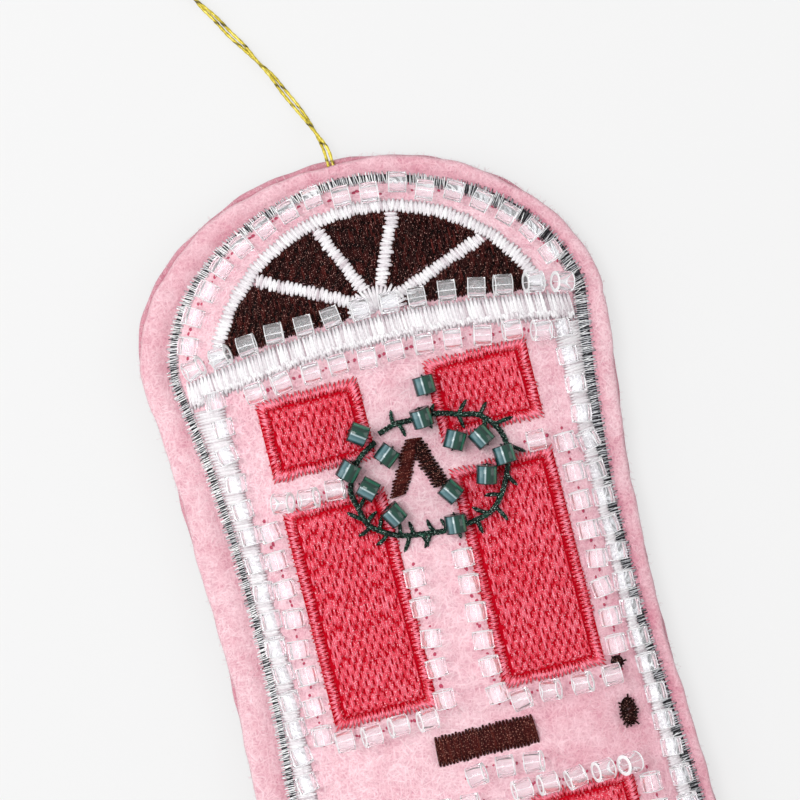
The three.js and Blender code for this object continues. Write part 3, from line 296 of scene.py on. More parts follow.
# Height of the front felt, swollen inside its seam and pulled down along it
def feltTop(x, y):
    distance = distanceAt(x, y)
    dip = puff["seamDip"] * np.exp(-(distance / puff["dipWidth"]) ** 2)
    (runX, runY), (slowX, slowY) = puff["wobbleRun"], puff["slowRun"]
    wobble = np.sin(x / runX + 1.3) * np.sin(y / runY + 0.4)
    wobble += puff["slowShare"] * np.sin(x / slowX - y / slowY)
    outside = (-distance - puff["rollFrom"]) / puff["rollWidth"]
    roll = puff["borderRoll"] * np.sin(np.pi * np.clip(outside, 0, 1))
    return borderTop + puff["rise"] * puffShare(distance) - dip + roll + puff["wobble"] * wobble


# Height of the back felt's outer face, which comes down to the table inside its seam
def backLow(x, y):
    return puff["seamHeight"] * (1 - puffShare(distanceAt(x, y)))


print("layout ready")


# Materials
# Colours from 0 to 255. A felt has its inside, its border (darker, as painted shade), its palest and its
# deepest tone (also its painted shade), and a thread its gaps (painted shade), its sides, where it shines
# (painted highlight) and its painted glints.
colours = {
    "frontFelt": ((249, 205, 214), (243, 197, 206), (255, 232, 237), (205, 116, 138)),
    "backFelt": ((222, 168, 180), (221, 150, 166), (238, 190, 200), (182, 100, 122)),
    "redThread": ((188, 0, 24), (220, 40, 66), (248, 138, 158), (252, 186, 198)),
    "brownThread": ((8, 0, 0), (38, 8, 7), (80, 28, 24), (196, 150, 140)),
    "slotThread": ((12, 1, 1), (54, 9, 8), (100, 40, 32), (180, 124, 110)),
    "whiteThread": ((180, 160, 168), (230, 225, 228), (252, 251, 252)),
    "pinkThread": ((206, 150, 162), (232, 200, 207), (248, 230, 234)),
    "greenThread": ((0, 4, 3), (3, 22, 16), (36, 88, 70), (200, 226, 214)),
    "silverThread": ((40, 40, 44), (196, 197, 201), (255, 255, 255)),
    "goldThread": ((74, 64, 8), (204, 184, 50), (250, 240, 150)),
    "redShadeGround": (190, 0, 26), "seamShadow": (52, 50, 55), "tealEdge": (10, 40, 34),
    "tealLining": (20, 66, 60),
    "woolFibre": (248, 218, 225), "needleHole": (188, 70, 98), "fillingWool": (240, 238, 232),
}
# Teal glass as painted light and shade, from its lit side through a painted highlight stripe to its shaded
# side
tealLightAndShadeBands = (
    (0.0, (8, 30, 28)), (0.1, (36, 76, 78)), (0.18, (112, 152, 160)), (0.36, (66, 108, 114)),
    (0.42, (200, 222, 226)), (0.48, (20, 72, 64)), (0.6, (12, 74, 58)), (0.8, (6, 48, 40)),
    (0.9, (70, 144, 116)), (1.0, (8, 40, 34)),
)


# A colour from 0 to 255, as the linear colour that a shader takes
def paint(colour):
    shares = [c / 255 for c in colour]
    return [c / 12.92 if c <= 0.04045 else ((c + 0.055) / 1.055) ** 2.4 for c in shares]


def newMaterial(name, colour, roughness, **sockets):
    material = bpy.data.materials.new(name)
    material.use_nodes = True
    shader = material.node_tree.nodes["Principled BSDF"]
    shader.inputs["Base Color"].default_value = (*colour, 1)
    shader.inputs["Roughness"].default_value = roughness
    for key, value in sockets.items():
        shader.inputs[key.replace("_", " ")].default_value = value
    material.diffuse_color = (*colour, 1)
    return material, material.node_tree, shader


def addNode(tree, kind, **settings):
    node = tree.nodes.new(kind)
    for key, value in settings.items():
        if key in node.inputs:
            node.inputs[key].default_value = value
        else:
            setattr(node, key, value)
    return node


def rampNode(tree, factor, stops):
    ramp = tree.nodes.new("ShaderNodeValToRGB")
    elements = ramp.color_ramp.elements
    while len(elements) < len(stops):
        elements.new(0.5)
    for element, (place, colour) in zip(elements, stops):
        element.position = place
        element.color = (*colour, 1)
    tree.links.new(factor, ramp.inputs["Fac"])
    return ramp.outputs["Color"]


def mathNode(tree, operation, first, second=None):
    node = tree.nodes.new("ShaderNodeMath")
    node.operation = operation
    for slot, value in enumerate((first, second)):
        if value is None:
            continue
        if isinstance(value, (int, float)):
            node.inputs[slot].default_value = value
        else:
            tree.links.new(value, node.inputs[slot])
    return node.outputs[0]


def mixColour(tree, factor, first, second, blend="MIX"):
    node = tree.nodes.new("ShaderNodeMix")
    node.data_type = "RGBA"
    node.blend_type = blend
    for key, value in (("Factor", factor), ("A", first), ("B", second)):
        socket = [s for s in node.inputs if s.name == key and s.enabled][0]
        if isinstance(value, (int, float)):
            socket.default_value = value
        elif isinstance(value, (list, tuple)):
            socket.default_value = (*value, 1)
        else:
            tree.links.new(value, socket)
    return [s for s in node.outputs if s.enabled][0]


def noiseNode(tree, vector, scale, detail=4, roughness=0.55):
    node = addNode(tree, "ShaderNodeTexNoise", Scale=scale, Detail=detail, Roughness=roughness)
    tree.links.new(vector, node.inputs["Vector"])
    return node.outputs["Fac"]


def turnedCoordinates(tree, vector, degrees, stretch):
    mapping = tree.nodes.new("ShaderNodeMapping")
    mapping.vector_type = "TEXTURE"
    mapping.inputs["Rotation"].default_value = (0, 0, math.radians(degrees))
    mapping.inputs["Scale"].default_value = stretch
    tree.links.new(vector, mapping.inputs["Vector"])
    return mapping.outputs["Vector"]


def attributeNode(tree, name, output="Fac"):
    return addNode(tree, "ShaderNodeAttribute", attribute_name=name).outputs[output]


def addBump(tree, shader, height, strength, distance):
    bump = addNode(tree, "ShaderNodeBump", Strength=strength, Distance=distance)
    tree.links.new(height, bump.inputs["Height"])
    tree.links.new(bump.outputs["Normal"], shader.inputs["Normal"])


feltLook = {
    "fibreTurns": (12, 48, 84, 121, 160), "fibreScale": 4000, "fibreStretch": 8, "fibreShare": 0.6,
    "fineScale": 2600, "cloudScale": 260, "cloudShare": 0.22, "bump": 0.9, "bumpHeight": 0.0004,
    "speckle": ((0.47, (0.78, 0.55, 0.63)), (0.57, (0.98, 0.94, 0.95)), (0.66, (1.12, 1.25, 1.22))),
}


# Wool felt: matted fibres in several directions, mottled, with painted shade in a darker border and in its
# deepest tone along the seam crease, top border and lower right, and a soft sheen
def feltMaterial(name):
    inner, border, pale, deep = (paint(colour) for colour in colours[name])
    material, tree, shader = newMaterial(name, inner, 0.95, Sheen_Weight=0.3, Sheen_Roughness=0.55)
    shader.inputs["Sheen Tint"].default_value = (1.0, 0.93, 0.95, 1)
    coordinates = tree.nodes.new("ShaderNodeTexCoord").outputs["Object"]
    fine = noiseNode(tree, coordinates, feltLook["fineScale"], 5, 0.75)
    crossed = None
    for degrees in feltLook["fibreTurns"]:
        turned = turnedCoordinates(tree, coordinates, degrees, (feltLook["fibreStretch"], 1, 1))
        streak = noiseNode(tree, turned, feltLook["fibreScale"], 1, 0.5)
        crossed = streak if crossed is None else mathNode(tree, "MAXIMUM", crossed, streak)
    share = feltLook["fibreShare"]
    fibres = mathNode(tree, "ADD", mathNode(tree, "MULTIPLY", crossed, share),
                      mathNode(tree, "MULTIPLY", fine, 1 - share))
    # Painted shade: the darker border tone, then the deepest tone mixed in along the seam crease, the top
    # border and the lower right
    base = mixColour(tree, attributeNode(tree, "feltInside"), border, inner)
    base = mixColour(tree, attributeNode(tree, "feltPaintedShade"), base, deep)
    # The speckle darkens between fibres: partly the felt's own fibres, partly painted shade between them
    speckle = rampNode(tree, fibres, feltLook["speckle"])
    toned = mixColour(tree, 1.0, base, speckle, "MULTIPLY")
    clouds = noiseNode(tree, coordinates, feltLook["cloudScale"], 5, 0.65)
    cloud = rampNode(tree, clouds, ((0.34, deep), (0.6, pale)))
    shaded = mixColour(tree, feltLook["cloudShare"], toned, cloud)
    tree.links.new(shaded, shader.inputs["Base Color"])
    addBump(tree, shader, fibres, feltLook["bump"], feltLook["bumpHeight"])
    return material


threadLook = {"fleckScale": 2600, "glintDotScale": 6200, "glintDotEdge": 0.05, "ply": 0.4, "plyHeight": 0.00006}


# Spun thread: each strand has its own shade, its ply shows as slanting ridges, and fine light dots are
# painted glints
def threadMaterial(name, roughness=0.42, metallic=0.0, sheen=0.25, twistPitch=0.55, grain=0.5, gloss=0.5,
                   glintDotsFrom=None):
    dark, base, light, *glintDotColour = (paint(colour) for colour in colours[name])
    material, tree, shader = newMaterial(name, base, roughness, Metallic=metallic, Sheen_Weight=sheen,
                                         Specular_IOR_Level=gloss)
    coordinates = tree.nodes.new("ShaderNodeTexCoord").outputs["Object"]
    flecks = mathNode(tree, "SUBTRACT", noiseNode(tree, coordinates, threadLook["fleckScale"], 2), 0.5)
    flecks = mathNode(tree, "MULTIPLY", flecks, grain)
    varied = mathNode(tree, "ADD", attributeNode(tree, "strandShade"), flecks)
    colour = rampNode(tree, varied, ((0.0, dark), (0.5, base), (1.0, light)))
    # Painted glints: fine light dots where a noise passes the threshold
    if glintDotsFrom:
        spots = noiseNode(tree, coordinates, threadLook["glintDotScale"], 1, 0.5)
        full = glintDotsFrom + threadLook["glintDotEdge"]
        dots = rampNode(tree, spots, ((glintDotsFrom, (0, 0, 0)), (full, (1, 1, 1))))
        colour = mixColour(tree, dots, colour, glintDotColour[0])
    tree.links.new(colour, shader.inputs["Base Color"])
    parts = tree.nodes.new("ShaderNodeSeparateXYZ")
    tree.links.new(attributeNode(tree, "strandTwist", "Vector"), parts.inputs[0])
    along = mathNode(tree, "MULTIPLY", parts.outputs[0], 2 * math.pi / twistPitch)
    first = mathNode(tree, "MULTIPLY", mathNode(tree, "COSINE", along), parts.outputs[1])
    second = mathNode(tree, "MULTIPLY", mathNode(tree, "SINE", along), parts.outputs[2])
    addBump(tree, shader, mathNode(tree, "ADD", first, second), threadLook["ply"], threadLook["plyHeight"])
    return material


# Glass with a faintly cloudy body that lets part of the lamp light through to what lies under it
def glassMaterial(name, colour, roughness, clear, lightThrough, bending):
    material, tree, shader = newMaterial(name, colour, roughness, Transmission_Weight=clear, IOR=bending)
    seeThrough = tree.nodes.new("ShaderNodeBsdfTransparent")
    seeThrough.inputs["Color"].default_value = (*(c ** 0.5 for c in colour), 1)
    mix = tree.nodes.new("ShaderNodeMixShader")
    shadow = tree.nodes.new("ShaderNodeLightPath").outputs["Is Shadow Ray"]
    tree.links.new(mathNode(tree, "MULTIPLY", shadow, lightThrough), mix.inputs["Fac"])
    tree.links.new(shader.outputs["BSDF"], mix.inputs[1])
    tree.links.new(seeThrough.outputs["BSDF"], mix.inputs[2])
    tree.links.new(mix.outputs[0], tree.nodes["Material Output"].inputs["Surface"])
    return material


# Glass over a coloured lining: bands of painted light and shade along the bead from its lit side to its
# shaded one, with a painted highlight stripe and a painted rim light
def bandedMaterial(name, clear, roughness, bands):
    stops = [(place, paint(colour)) for place, colour in bands]
    material, tree, shader = newMaterial(name, stops[3][1], roughness, Transmission_Weight=clear, IOR=1.46)
    bandColour = rampNode(tree, attributeNode(tree, "beadSide"), stops)
    tree.links.new(bandColour, shader.inputs["Base Color"])
    return material


def plainMaterial(name, roughness, **sockets):
    return newMaterial(name, paint(colours[name]), roughness, **sockets)[0]


frontFelt = feltMaterial("frontFelt")
backFelt = feltMaterial("backFelt")
redThread = threadMaterial("redThread", 0.45, sheen=0.12, grain=0.4, gloss=0.3, glintDotsFrom=0.62)
# A darker red ground, painted shade, that shows in the groove and the gaps of the panels
redShadeGround = plainMaterial("redShadeGround", 0.9, Specular_IOR_Level=0.1)
brownThread = threadMaterial("brownThread", 0.6, sheen=0, grain=0.6, gloss=0.08, glintDotsFrom=0.655)
slotThread = threadMaterial("slotThread", 0.6, sheen=0, grain=0.6, gloss=0.08, glintDotsFrom=0.635)
whiteThread = threadMaterial("whiteThread", 0.45, sheen=0.1, grain=0.4, gloss=0.3)
pinkThread = threadMaterial("pinkThread", 0.5)
# The green thread's strong grain also stands in for painted glints
greenThread = threadMaterial("greenThread", 0.5, sheen=0, twistPitch=0.9, grain=1.8, gloss=0.12,
                             glintDotsFrom=0.65)
silverThread = threadMaterial("silverThread", 0.4, 0.1, 0, gloss=0.4)
seamShadow = plainMaterial("seamShadow", 0.8, Specular_IOR_Level=0.1)
goldThread = threadMaterial("goldThread", 0.36, 0.3, 0, grain=0.8)
clearGlass = glassMaterial("clearGlass", (0.985, 0.99, 1.0), 0.0, clear=0.92, lightThrough=0.8, bending=1.27)
# Near-white rings for the clear beads' ends: a painted highlight of the glass rims
rimHighlightGlass = newMaterial("rimHighlightGlass", (0.98, 0.98, 0.99), 0.4, Transmission_Weight=0.1)[0]
tealGlass = bandedMaterial("tealGlass", 0.25, 0.07, tealLightAndShadeBands)
tealEdge = plainMaterial("tealEdge", 0.12, Transmission_Weight=0.2)
tealLining = plainMaterial("tealLining", 0.35)
woolFibre = plainMaterial("woolFibre", 0.9, Sheen_Weight=0.3)
needleHole = plainMaterial("needleHole", 0.95)
fillingWool = plainMaterial("fillingWool", 0.95)
print("materials ready")


# Threads
# How high a stitch stands along its length, in shares of its length and its rise
profiles = {
    "satin": ((0, -0.4), (0.1, 0.62), (0.3, 1), (0.7, 1), (0.9, 0.62), (1, -0.4)),
    "rim": ((0, -0.4), (0.12, 0.55), (0.3, 0.85), (0.5, 1), (0.7, 0.85), (0.88, 0.55), (1, -0.4)),
    "dived": ((0, -1.0), (0.1, -0.1), (0.24, 0.85), (0.5, 1), (0.76, 0.85), (0.9, -0.1), (1, -1.0)),
    "plain": ((0, -0.4), (0.04, 0.6), (0.25, 1), (0.5, 0.85), (0.75, 1), (0.96, 0.6), (1, -0.4)),
    "pane": ((0, -0.5), (0.12, 0.7), (0.5, 1), (0.88, 0.7), (1, -0.5)),
    "radial": ((0, -0.4), (0.14, 0.4), (0.5, 1), (1, 1.2)),
    "fibre": ((0, -0.2), (0.33, 1), (0.67, 1), (1, 0.1)),
    "edgeFibre": ((0, 0), (0.5, 1), (1, 0.4)),
}


# A unit thread: a ring at each whole height, made by extruding one circle
def threadTemplate(stations, sides):
    bm = bmesh.new()
    bmesh.ops.create_circle(bm, segments=sides, radius=1, cap_ends=False)
    rim = list(bm.edges)
    for _ in range(stations - 1):
        grown = bmesh.ops.extrude_edge_only(bm, edges=rim)["geom"]
        rim = [part for part in grown if isinstance(part, bmesh.types.BMEdge)]
        verts = [part for part in grown if isinstance(part, bmesh.types.BMVert)]
        bmesh.ops.translate(bm, verts=verts, vec=(0, 0, 1))
    bmesh.ops.holes_fill(bm, edges=bm.edges, sides=0)
    bmesh.ops.recalc_face_normals(bm, faces=bm.faces)
    return meshFrom(bm, "threadTemplate")


# Threads over the felt from each start to each end, with their middles raised; their tone is darkened where
# they dive, as painted shade, and lightened at their middles, as a painted highlight
def layThreads(name, starts, ends, material, width=0.44, thickness=0.3, rise=0.42, base=0.0, bow=0.0,
               shade=None, sides=6, profile="satin", heightAt=feltTop, taper=0.6, endShade=0.3, paintedGlint=0.0):
    starts, ends = np.asarray(starts, float), np.asarray(ends, float)
    profile = profiles[profile]
    count, stations = len(starts), len(profile)
    template = threadTemplate(stations, sides)
    unit = readVertices(template)
    ring = np.rint(unit[:, 2]).astype(int)
    mesh = repeatMesh(template, count)
    share = np.array([p[0] for p in profile])
    lift = np.array([p[1] for p in profile])
    span = ends - starts
    length = np.maximum(np.hypot(span[:, 0], span[:, 1]), 1e-6)
    side = np.stack([-span[:, 1], span[:, 0]], 1) / length[:, None]
    bow, rise, base, width = (
        np.broadcast_to(np.asarray(value, float), (count,)) for value in (bow, rise, base, width))
    centre = starts[:, None] + span[:, None] * share[None, :, None]
    centre = centre + side[:, None] * (bow[:, None] * np.sin(np.pi * share)[None])[..., None]
    height = heightAt(centre[..., 0], centre[..., 1]) + base[:, None] + rise[:, None] * lift[None]
    narrow = taper + (1 - taper) * np.clip(lift, 0, 1)
    halfWidth = (width[:, None] / 2 * narrow[None])[:, ring]
    halfHeight = (np.full((count, stations), thickness / 2) * narrow[None])[:, ring]
    places = np.empty((count, len(unit), 3))
    places[..., :2] = centre[:, ring] + side[:, None] * (unit[:, 0][None] * halfWidth)[..., None]
    places[..., 2] = height[:, ring] + unit[:, 1][None] * halfHeight
    placeVertices(mesh, places)
    shade = rng.normal(0.5, 0.16, count) if shade is None else np.broadcast_to(shade, (count,))
    # Painted shade towards the diving ends, and a painted highlight at each middle
    tone = shade[:, None] + endShade * (np.clip(lift, -0.5, 1) - 0.8)[None]
    tone = tone + paintedGlint * rng.uniform(0.2, 1.3, (count, 1)) * np.exp(-((share - 0.5) / 0.16) ** 2)[None]
    setAttribute(mesh, "strandShade", tone[:, ring])
    along = (length[:, None] * share[None])[:, ring]
    angle = 2 * np.arctan2(unit[:, 1], unit[:, 0])
    around = [np.broadcast_to(turn, along.shape) for turn in (np.cos(angle), np.sin(angle))]
    setAttribute(mesh, "strandTwist", np.stack([along, *around], -1), "FLOAT_VECTOR")
    return finishMesh(name, mesh, material)


# The ground of a stitched block: a strip between two rows of points. In a thread's own material it takes the
# darkest tone (a little paler under white thread), painted shade in the gaps between stitches
def layUnderlay(name, a, b, material, lift=0.1, columns=4):
    shade = 0.4 if material == whiteThread else 0.0
    share = np.linspace(0, 1, columns)
    places = np.empty((len(a), columns, 3))
    places[..., :2] = a[:, None] + (b - a)[:, None] * share[None, :, None]
    edge = np.where((share == 0) | (share == 1), -0.25, 0)
    places[..., 2] = feltTop(places[..., 0], places[..., 1]) + lift + edge[None]
    mesh = gridMesh(name, places)
    if mesh.polygons and mesh.polygons[0].normal.z < 0:
        mesh.flip_normals()
    setAttribute(mesh, "strandShade", np.full(len(mesh.vertices), shade))
    setAttribute(mesh, "strandTwist", np.zeros((len(mesh.vertices), 3)), "FLOAT_VECTOR")
    return finishMesh(name, mesh, material)


# Cuts each run from a to b into stitches whose joints are staggered by the shares
def breakRuns(a, b, stitchLength, shares):
    starts, ends = [], []
    for p, q, share in zip(a, b, shares):
        length = np.hypot(*(q - p))
        cuts = [0.0]
        place = stitchLength * (0.25 + share)
        while place < length - 0.35 * stitchLength:
            cuts.append(place)
            place += stitchLength * rng.uniform(0.92, 1.08)
        cuts.append(length)
        for low, high in zip(cuts, cuts[1:]):
            starts.append(p + (q - p) * low / length)
            ends.append(p + (q - p) * high / length)
    return np.array(starts), np.array(ends)


# Moves each end of a row of stitches a little in or out
def jagged(points, towards, amount):
    span = points - towards
    length = np.maximum(np.hypot(span[:, 0], span[:, 1]), 1e-6)[:, None]
    return points + span / length * rng.uniform(-amount, amount, (len(points), 1))


# Ties a finished piece to its body, and hides the solids that it stands for
def replaceNodes(obj, body, slot, *nodes):
    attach(obj, body)
    if nodes:
        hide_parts(*nodes)
    return obj


# Satin as it is sewn: one thread from rail to rail, with two stitches to each needle hole
def zigzag(a, b, pitch, jag):
    travelled = travelledAlong((a + b) / 2)
    places = np.linspace(0, travelled[-1], 2 * max(2, int(round(travelled[-1] / pitch))) + 1)
    first, second = (pointsAt(places, travelled, rail) for rail in (a, b))
    even = (np.arange(len(places)) % 2 == 0)[:, None]
    points = jagged(np.where(even, first, second), np.where(even, second, first), jag)
    return points[:-1], points[1:]


# Satin between two rails of points, each stitch with its own height and shade
def satinThreads(name, a, b, material, pitch=0.5, jag=0.12, width=0.42, rise=0.5, taper=0.3, shade=0.5,
                 spread=0.14, **settings):
    starts, ends = zigzag(np.asarray(a, float), np.asarray(b, float), pitch, jag)
    count = len(starts)
    over = np.where(np.arange(count) % 2 == 0, 0.0, 0.05) + rng.normal(0, 0.02, count)
    tone = rng.normal(shade, spread, count)
    return layThreads(name, starts, ends, material, width=width, rise=rise + over, taper=taper, shade=tone,
                      **settings)


# A satin band over its ground
def satinBlock(name, node, a, b, material, slot, **settings):
    ground = layUnderlay(name + "Ground", np.asarray(a, float), np.asarray(b, float), material)
    threads = satinThreads(name, a, b, material, **settings)
    return replaceNodes(joinPieces(name, [threads, ground]), "door", slot, node)


# Hanging loop
loop = {
    "diameter": 0.5, "exit": (-0.1, 57.95, 2.8), "strandOffset": 0.35, "twistPitch": 2.4, "marks": 2.5,
    "knotDrop": 7.0, "knotRadius": 0.5, "tailDrop": 0.75,
}
loopRoute = [  # from the exit, with heights over the table
    (-0.47, 2.6, 2.45), (-1.0, 5.4, 1.3), (-1.63, 7.7, 0.62), (-2.53, 10.05, 0.31), (-3.73, 12.55, 0.27),
    (-5.01, 15.2, 0.27), (-6.7, 17.6, 0.27), (-8.32, 19.98, 0.27), (-9.97, 22.45, 0.27),
    (-11.33, 24.97, 0.27), (-12.8, 27.44, 0.27), (-14.2, 31.1, 0.27), (-15.5, 35.3, 0.27),
    (-16.6, 40.5, 0.27), (-18.0, 45.5, 0.27), (-20.1, 50.1, 0.27), (-23.4, 54.0, 0.27),
    (-27.7, 55.9, 0.27), (-31.0, 53.6, 0.27), (-31.6, 49.3, 0.27), (-29.3, 44.6, 0.27),
    (-25.9, 40.7, 0.27), (-22.2, 37.1, 0.27), (-18.4, 33.6, 0.31), (-15.0, 30.6, 0.6),
    (-12.6, 27.56, 0.84), (-10.87, 25.23, 0.6), (-9.43, 22.75, 0.29), (-7.88, 20.22, 0.64),
    (-6.7, 17.6, 0.86), (-5.39, 15.0, 0.7), (-4.27, 12.25, 0.31), (-3.07, 9.75, 0.44), (-1.97, 7.5, 1.15),
    (-1.0, 5.4, 1.98), (0.17, 2.6, 2.7),
]


# A centripetal curve through the points, sampled evenly
def smoothRoute(points, step):
    p = np.asarray(points, float)
    p = np.concatenate([[2 * p[0] - p[1]], p, [2 * p[-1] - p[-2]]])
    fine = []
    for k in range(1, len(p) - 2):
        p0, p1, p2, p3 = p[k - 1:k + 3]
        d0, d1, d2 = (max(np.linalg.norm(q - r) ** 0.5, 1e-4) for q, r in ((p1, p0), (p2, p1), (p3, p2)))
        t1 = ((p1 - p0) / d0 - (p2 - p0) / (d0 + d1) + (p2 - p1) / d1) * d1
        t2 = ((p2 - p1) / d1 - (p3 - p1) / (d1 + d2) + (p3 - p2) / d2) * d1
        t = np.linspace(0, 1, 24, endpoint=False)[:, None]
        fine.append(p1 + t1 * t + (3 * (p2 - p1) - 2 * t1 - t2) * t ** 2 + (2 * (p1 - p2) + t1 + t2) * t ** 3)
    fine = np.concatenate(fine + [[p[-2]]])
    travelled = travelledAlong(fine)
    even = np.linspace(0, travelled[-1], max(2, int(round(travelled[-1] / step)) + 1))
    return pointsAt(even, travelled, fine), travelled[-1]


# A plied thread along a route: its section has a lobe for each ply and turns as it goes
def sweepThread(name, route, diameter, material, sides=10, twistPitch=1.2, ply=0.26, shade=0.5, marks=0,
                point=0):
    route = np.asarray(route, float)
    tangent = np.gradient(route, axis=0)
    tangent /= np.linalg.norm(tangent, axis=1)[:, None]
    travelled = travelledAlong(route)
    up = np.array([0.0, 0.0, 1.0])
    sideways = np.cross(up, tangent)
    sideways /= np.maximum(np.linalg.norm(sideways, axis=1)[:, None], 1e-6)
    over = np.cross(tangent, sideways)
    angle = np.linspace(0, 2 * np.pi, sides + 1)
    turned = angle[None] - 2 * np.pi * travelled[:, None] / twistPitch
    radius = diameter / 2 * (1 - ply + ply * np.abs(np.cos(turned)))
    if point:
        left = np.clip((travelled[-1] - travelled) / point, 0, 1)
        radius = radius * (0.2 + 0.8 * np.sqrt(left))[:, None]
    places = route[:, None] + radius[..., None] * (
        np.cos(angle)[None, :, None] * sideways[:, None] + np.sin(angle)[None, :, None] * over[:, None])
    mesh = gridMesh(name, places, wrapAround=True, capEnds=True)
    co = readVertices(mesh) / mm
    tone = shade + 0.09 * np.cos(co[:, 0] * 2.1)
    # Painted shade: the dark marks at even steps stand for the grooves between the plies
    if marks:  # dark flecks at even steps
        place = np.mod(co[:, 1] + 0.55 * co[:, 0], marks) - marks / 2
        tone = tone - 0.7 * np.exp(-(place / 0.14) ** 2)
    setAttribute(mesh, "strandShade", tone)
    setAttribute(mesh, "strandTwist", np.zeros((len(mesh.vertices), 3)), "FLOAT_VECTOR")
    return finishMesh(name, mesh, material)


# The loop, from its first strand's exit round to its second one
def addLoop():
    exitX, exitY, exitZ = loop["exit"]
    middle = [(exitX + x, exitY + y, z) for x, y, z in loopRoute]
    ends = [(exitX + side * loop["strandOffset"], exitY, exitZ) for side in (-1, 1)]
    route, length = smoothRoute([ends[0], *middle, ends[1]], 0.25)
    obj = sweepThread("hangingLoop", route, loop["diameter"], goldThread, twistPitch=loop["twistPitch"],
                      marks=loop["marks"])
    replaceNodes(obj, "loop", "gold_thread", "hanging_loop")
    print("loop ready, mm long:", round(length, 1))


addLoop()


# The knot between the felts, and the two tails that lead to it
def addKnot():
    exitX, exitY, exitZ = loop["exit"]
    knotY, radius = exitY - loop["knotDrop"], loop["knotRadius"]
    pieces = []
    for side in (-1, 1):
        x = exitX + side * loop["strandOffset"]
        tail = [(x, exitY - loop["tailDrop"], exitZ), (x, knotY + 3, exitZ), (x * 0.6, knotY, exitZ)]
        route, _ = smoothRoute(tail, 0.3)
        pieces.append(sweepThread("knotTail", route, loop["diameter"], goldThread,
                                  twistPitch=loop["twistPitch"]))
    turn = np.linspace(0, 4 * np.pi, 60)
    height = knotY + 0.12 * turn - 0.7
    coil = np.stack([exitX + radius * np.cos(turn), height, exitZ + radius * np.sin(turn)], 1)
    pieces.append(sweepThread("knotTurns", coil, loop["diameter"] * 0.9, goldThread))
    replaceNodes(joinPieces("loopKnot", pieces), "door", "gold_thread", "loop_knot")


addKnot()


# Felts and filling
felt = {
    "medial": 25.1, "rimRound": 0.22, "rimBulge": 1.03, "frontWave": 0.16, "backWave": 0.17, "softening": 12,
    "frontTuck": 0.25, "backPeek": 0.4, "channelWidth": 1.1, "channelLength": 6.5,
    "frontChannel": 0.4, "backChannel": 0.35, "lump": 0.1, "smallLump": 0.12,
}
# How much painted shade, in the deepest tone, lies along the seam, on the border and at the lower right
feltShadeAmounts = {
    "crease": 0.25, "rightCrease": 0.6, "creaseFrom": 0.95, "creaseWidth": 0.5, "rightWidth": 0.45,
    "patches": 0.28, "patchesFrom": 1.7, "topBorder": 0.2, "lowerRight": 0.36,
}


# Moves loop points towards the door's middle line by a distance or all the way
def towardsMiddle(points, distance):
    target = np.stack([
        np.full(len(points), layout["seamShift"]),
        np.clip(points[:, 1], -halfLift + felt["medial"], seamTop - halfLift - felt["medial"]),
    ], 1)
    span = target - points
    length = np.hypot(span[:, 0], span[:, 1])[:, None]
    return points + span * np.minimum(distance / length, 1)


# A hand-cut edge: the outline with slow waves and small nicks along it
def wavyLoop(loop, amount, phase, outset=0.0):
    after, before = np.roll(loop, -1, 0), np.roll(loop, 1, 0)
    along = after - before
    along /= np.hypot(along[:, 0], along[:, 1])[:, None]
    outward = np.stack([along[:, 1], -along[:, 0]], 1)
    travelled = np.cumsum(np.hypot(*(after - loop).T))
    wave = np.sin(travelled / 4.7 + phase) + 0.6 * np.sin(travelled / 2.1 + 2 * phase)
    wave += 0.35 * np.sin(travelled / 0.9 + phase)
    return loop + outward * (np.broadcast_to(outset, len(loop)) + amount * wave)[:, None]


# Shares of the felt's tones at each vertex, for its material: its darker border and its deepest tone along
# the seam crease, top border and lower right are painted shade
def setFeltShading(mesh):
    co = readVertices(mesh) / mm
    x, y, outside = co[:, 0], co[:, 1], -distanceAt(co[:, 0], co[:, 1])
    setAttribute(mesh, "feltInside", smoothShare((0.6 - outside) / 3.0))
    # Painted shade in the crease beside the seam, deeper and wider on the right
    rightSide = smoothShare((x - 6) / 20)
    width = feltShadeAmounts["creaseWidth"] + feltShadeAmounts["rightWidth"] * rightSide
    crease = feltShadeAmounts["crease"] + feltShadeAmounts["rightCrease"] * rightSide
    crease *= np.exp(-((outside - feltShadeAmounts["creaseFrom"]) / width) ** 2)
    patches = 0.5 + 0.5 * np.sin(y / 1.7 + 1.5 * np.sin(y / 4.3)) * np.sin(x / 1.1 + y / 6.0)
    patches *= feltShadeAmounts["patches"] * (1 - rightSide) * np.exp(-(outside - feltShadeAmounts["patchesFrom"]) ** 2)
    topBorder = feltShadeAmounts["topBorder"] * smoothShare((y - 30) / 18) * smoothShare((outside + 0.4) / 1.2)
    # Painted shade, darker towards the lower right
    lowerRightShade = feltShadeAmounts["lowerRight"] * smoothShare((x + 2) / 20) * smoothShare((20 - y) / 44)
    setAttribute(mesh, "feltPaintedShade", np.clip(crease + patches + topBorder + lowerRightShade, 0, 1))


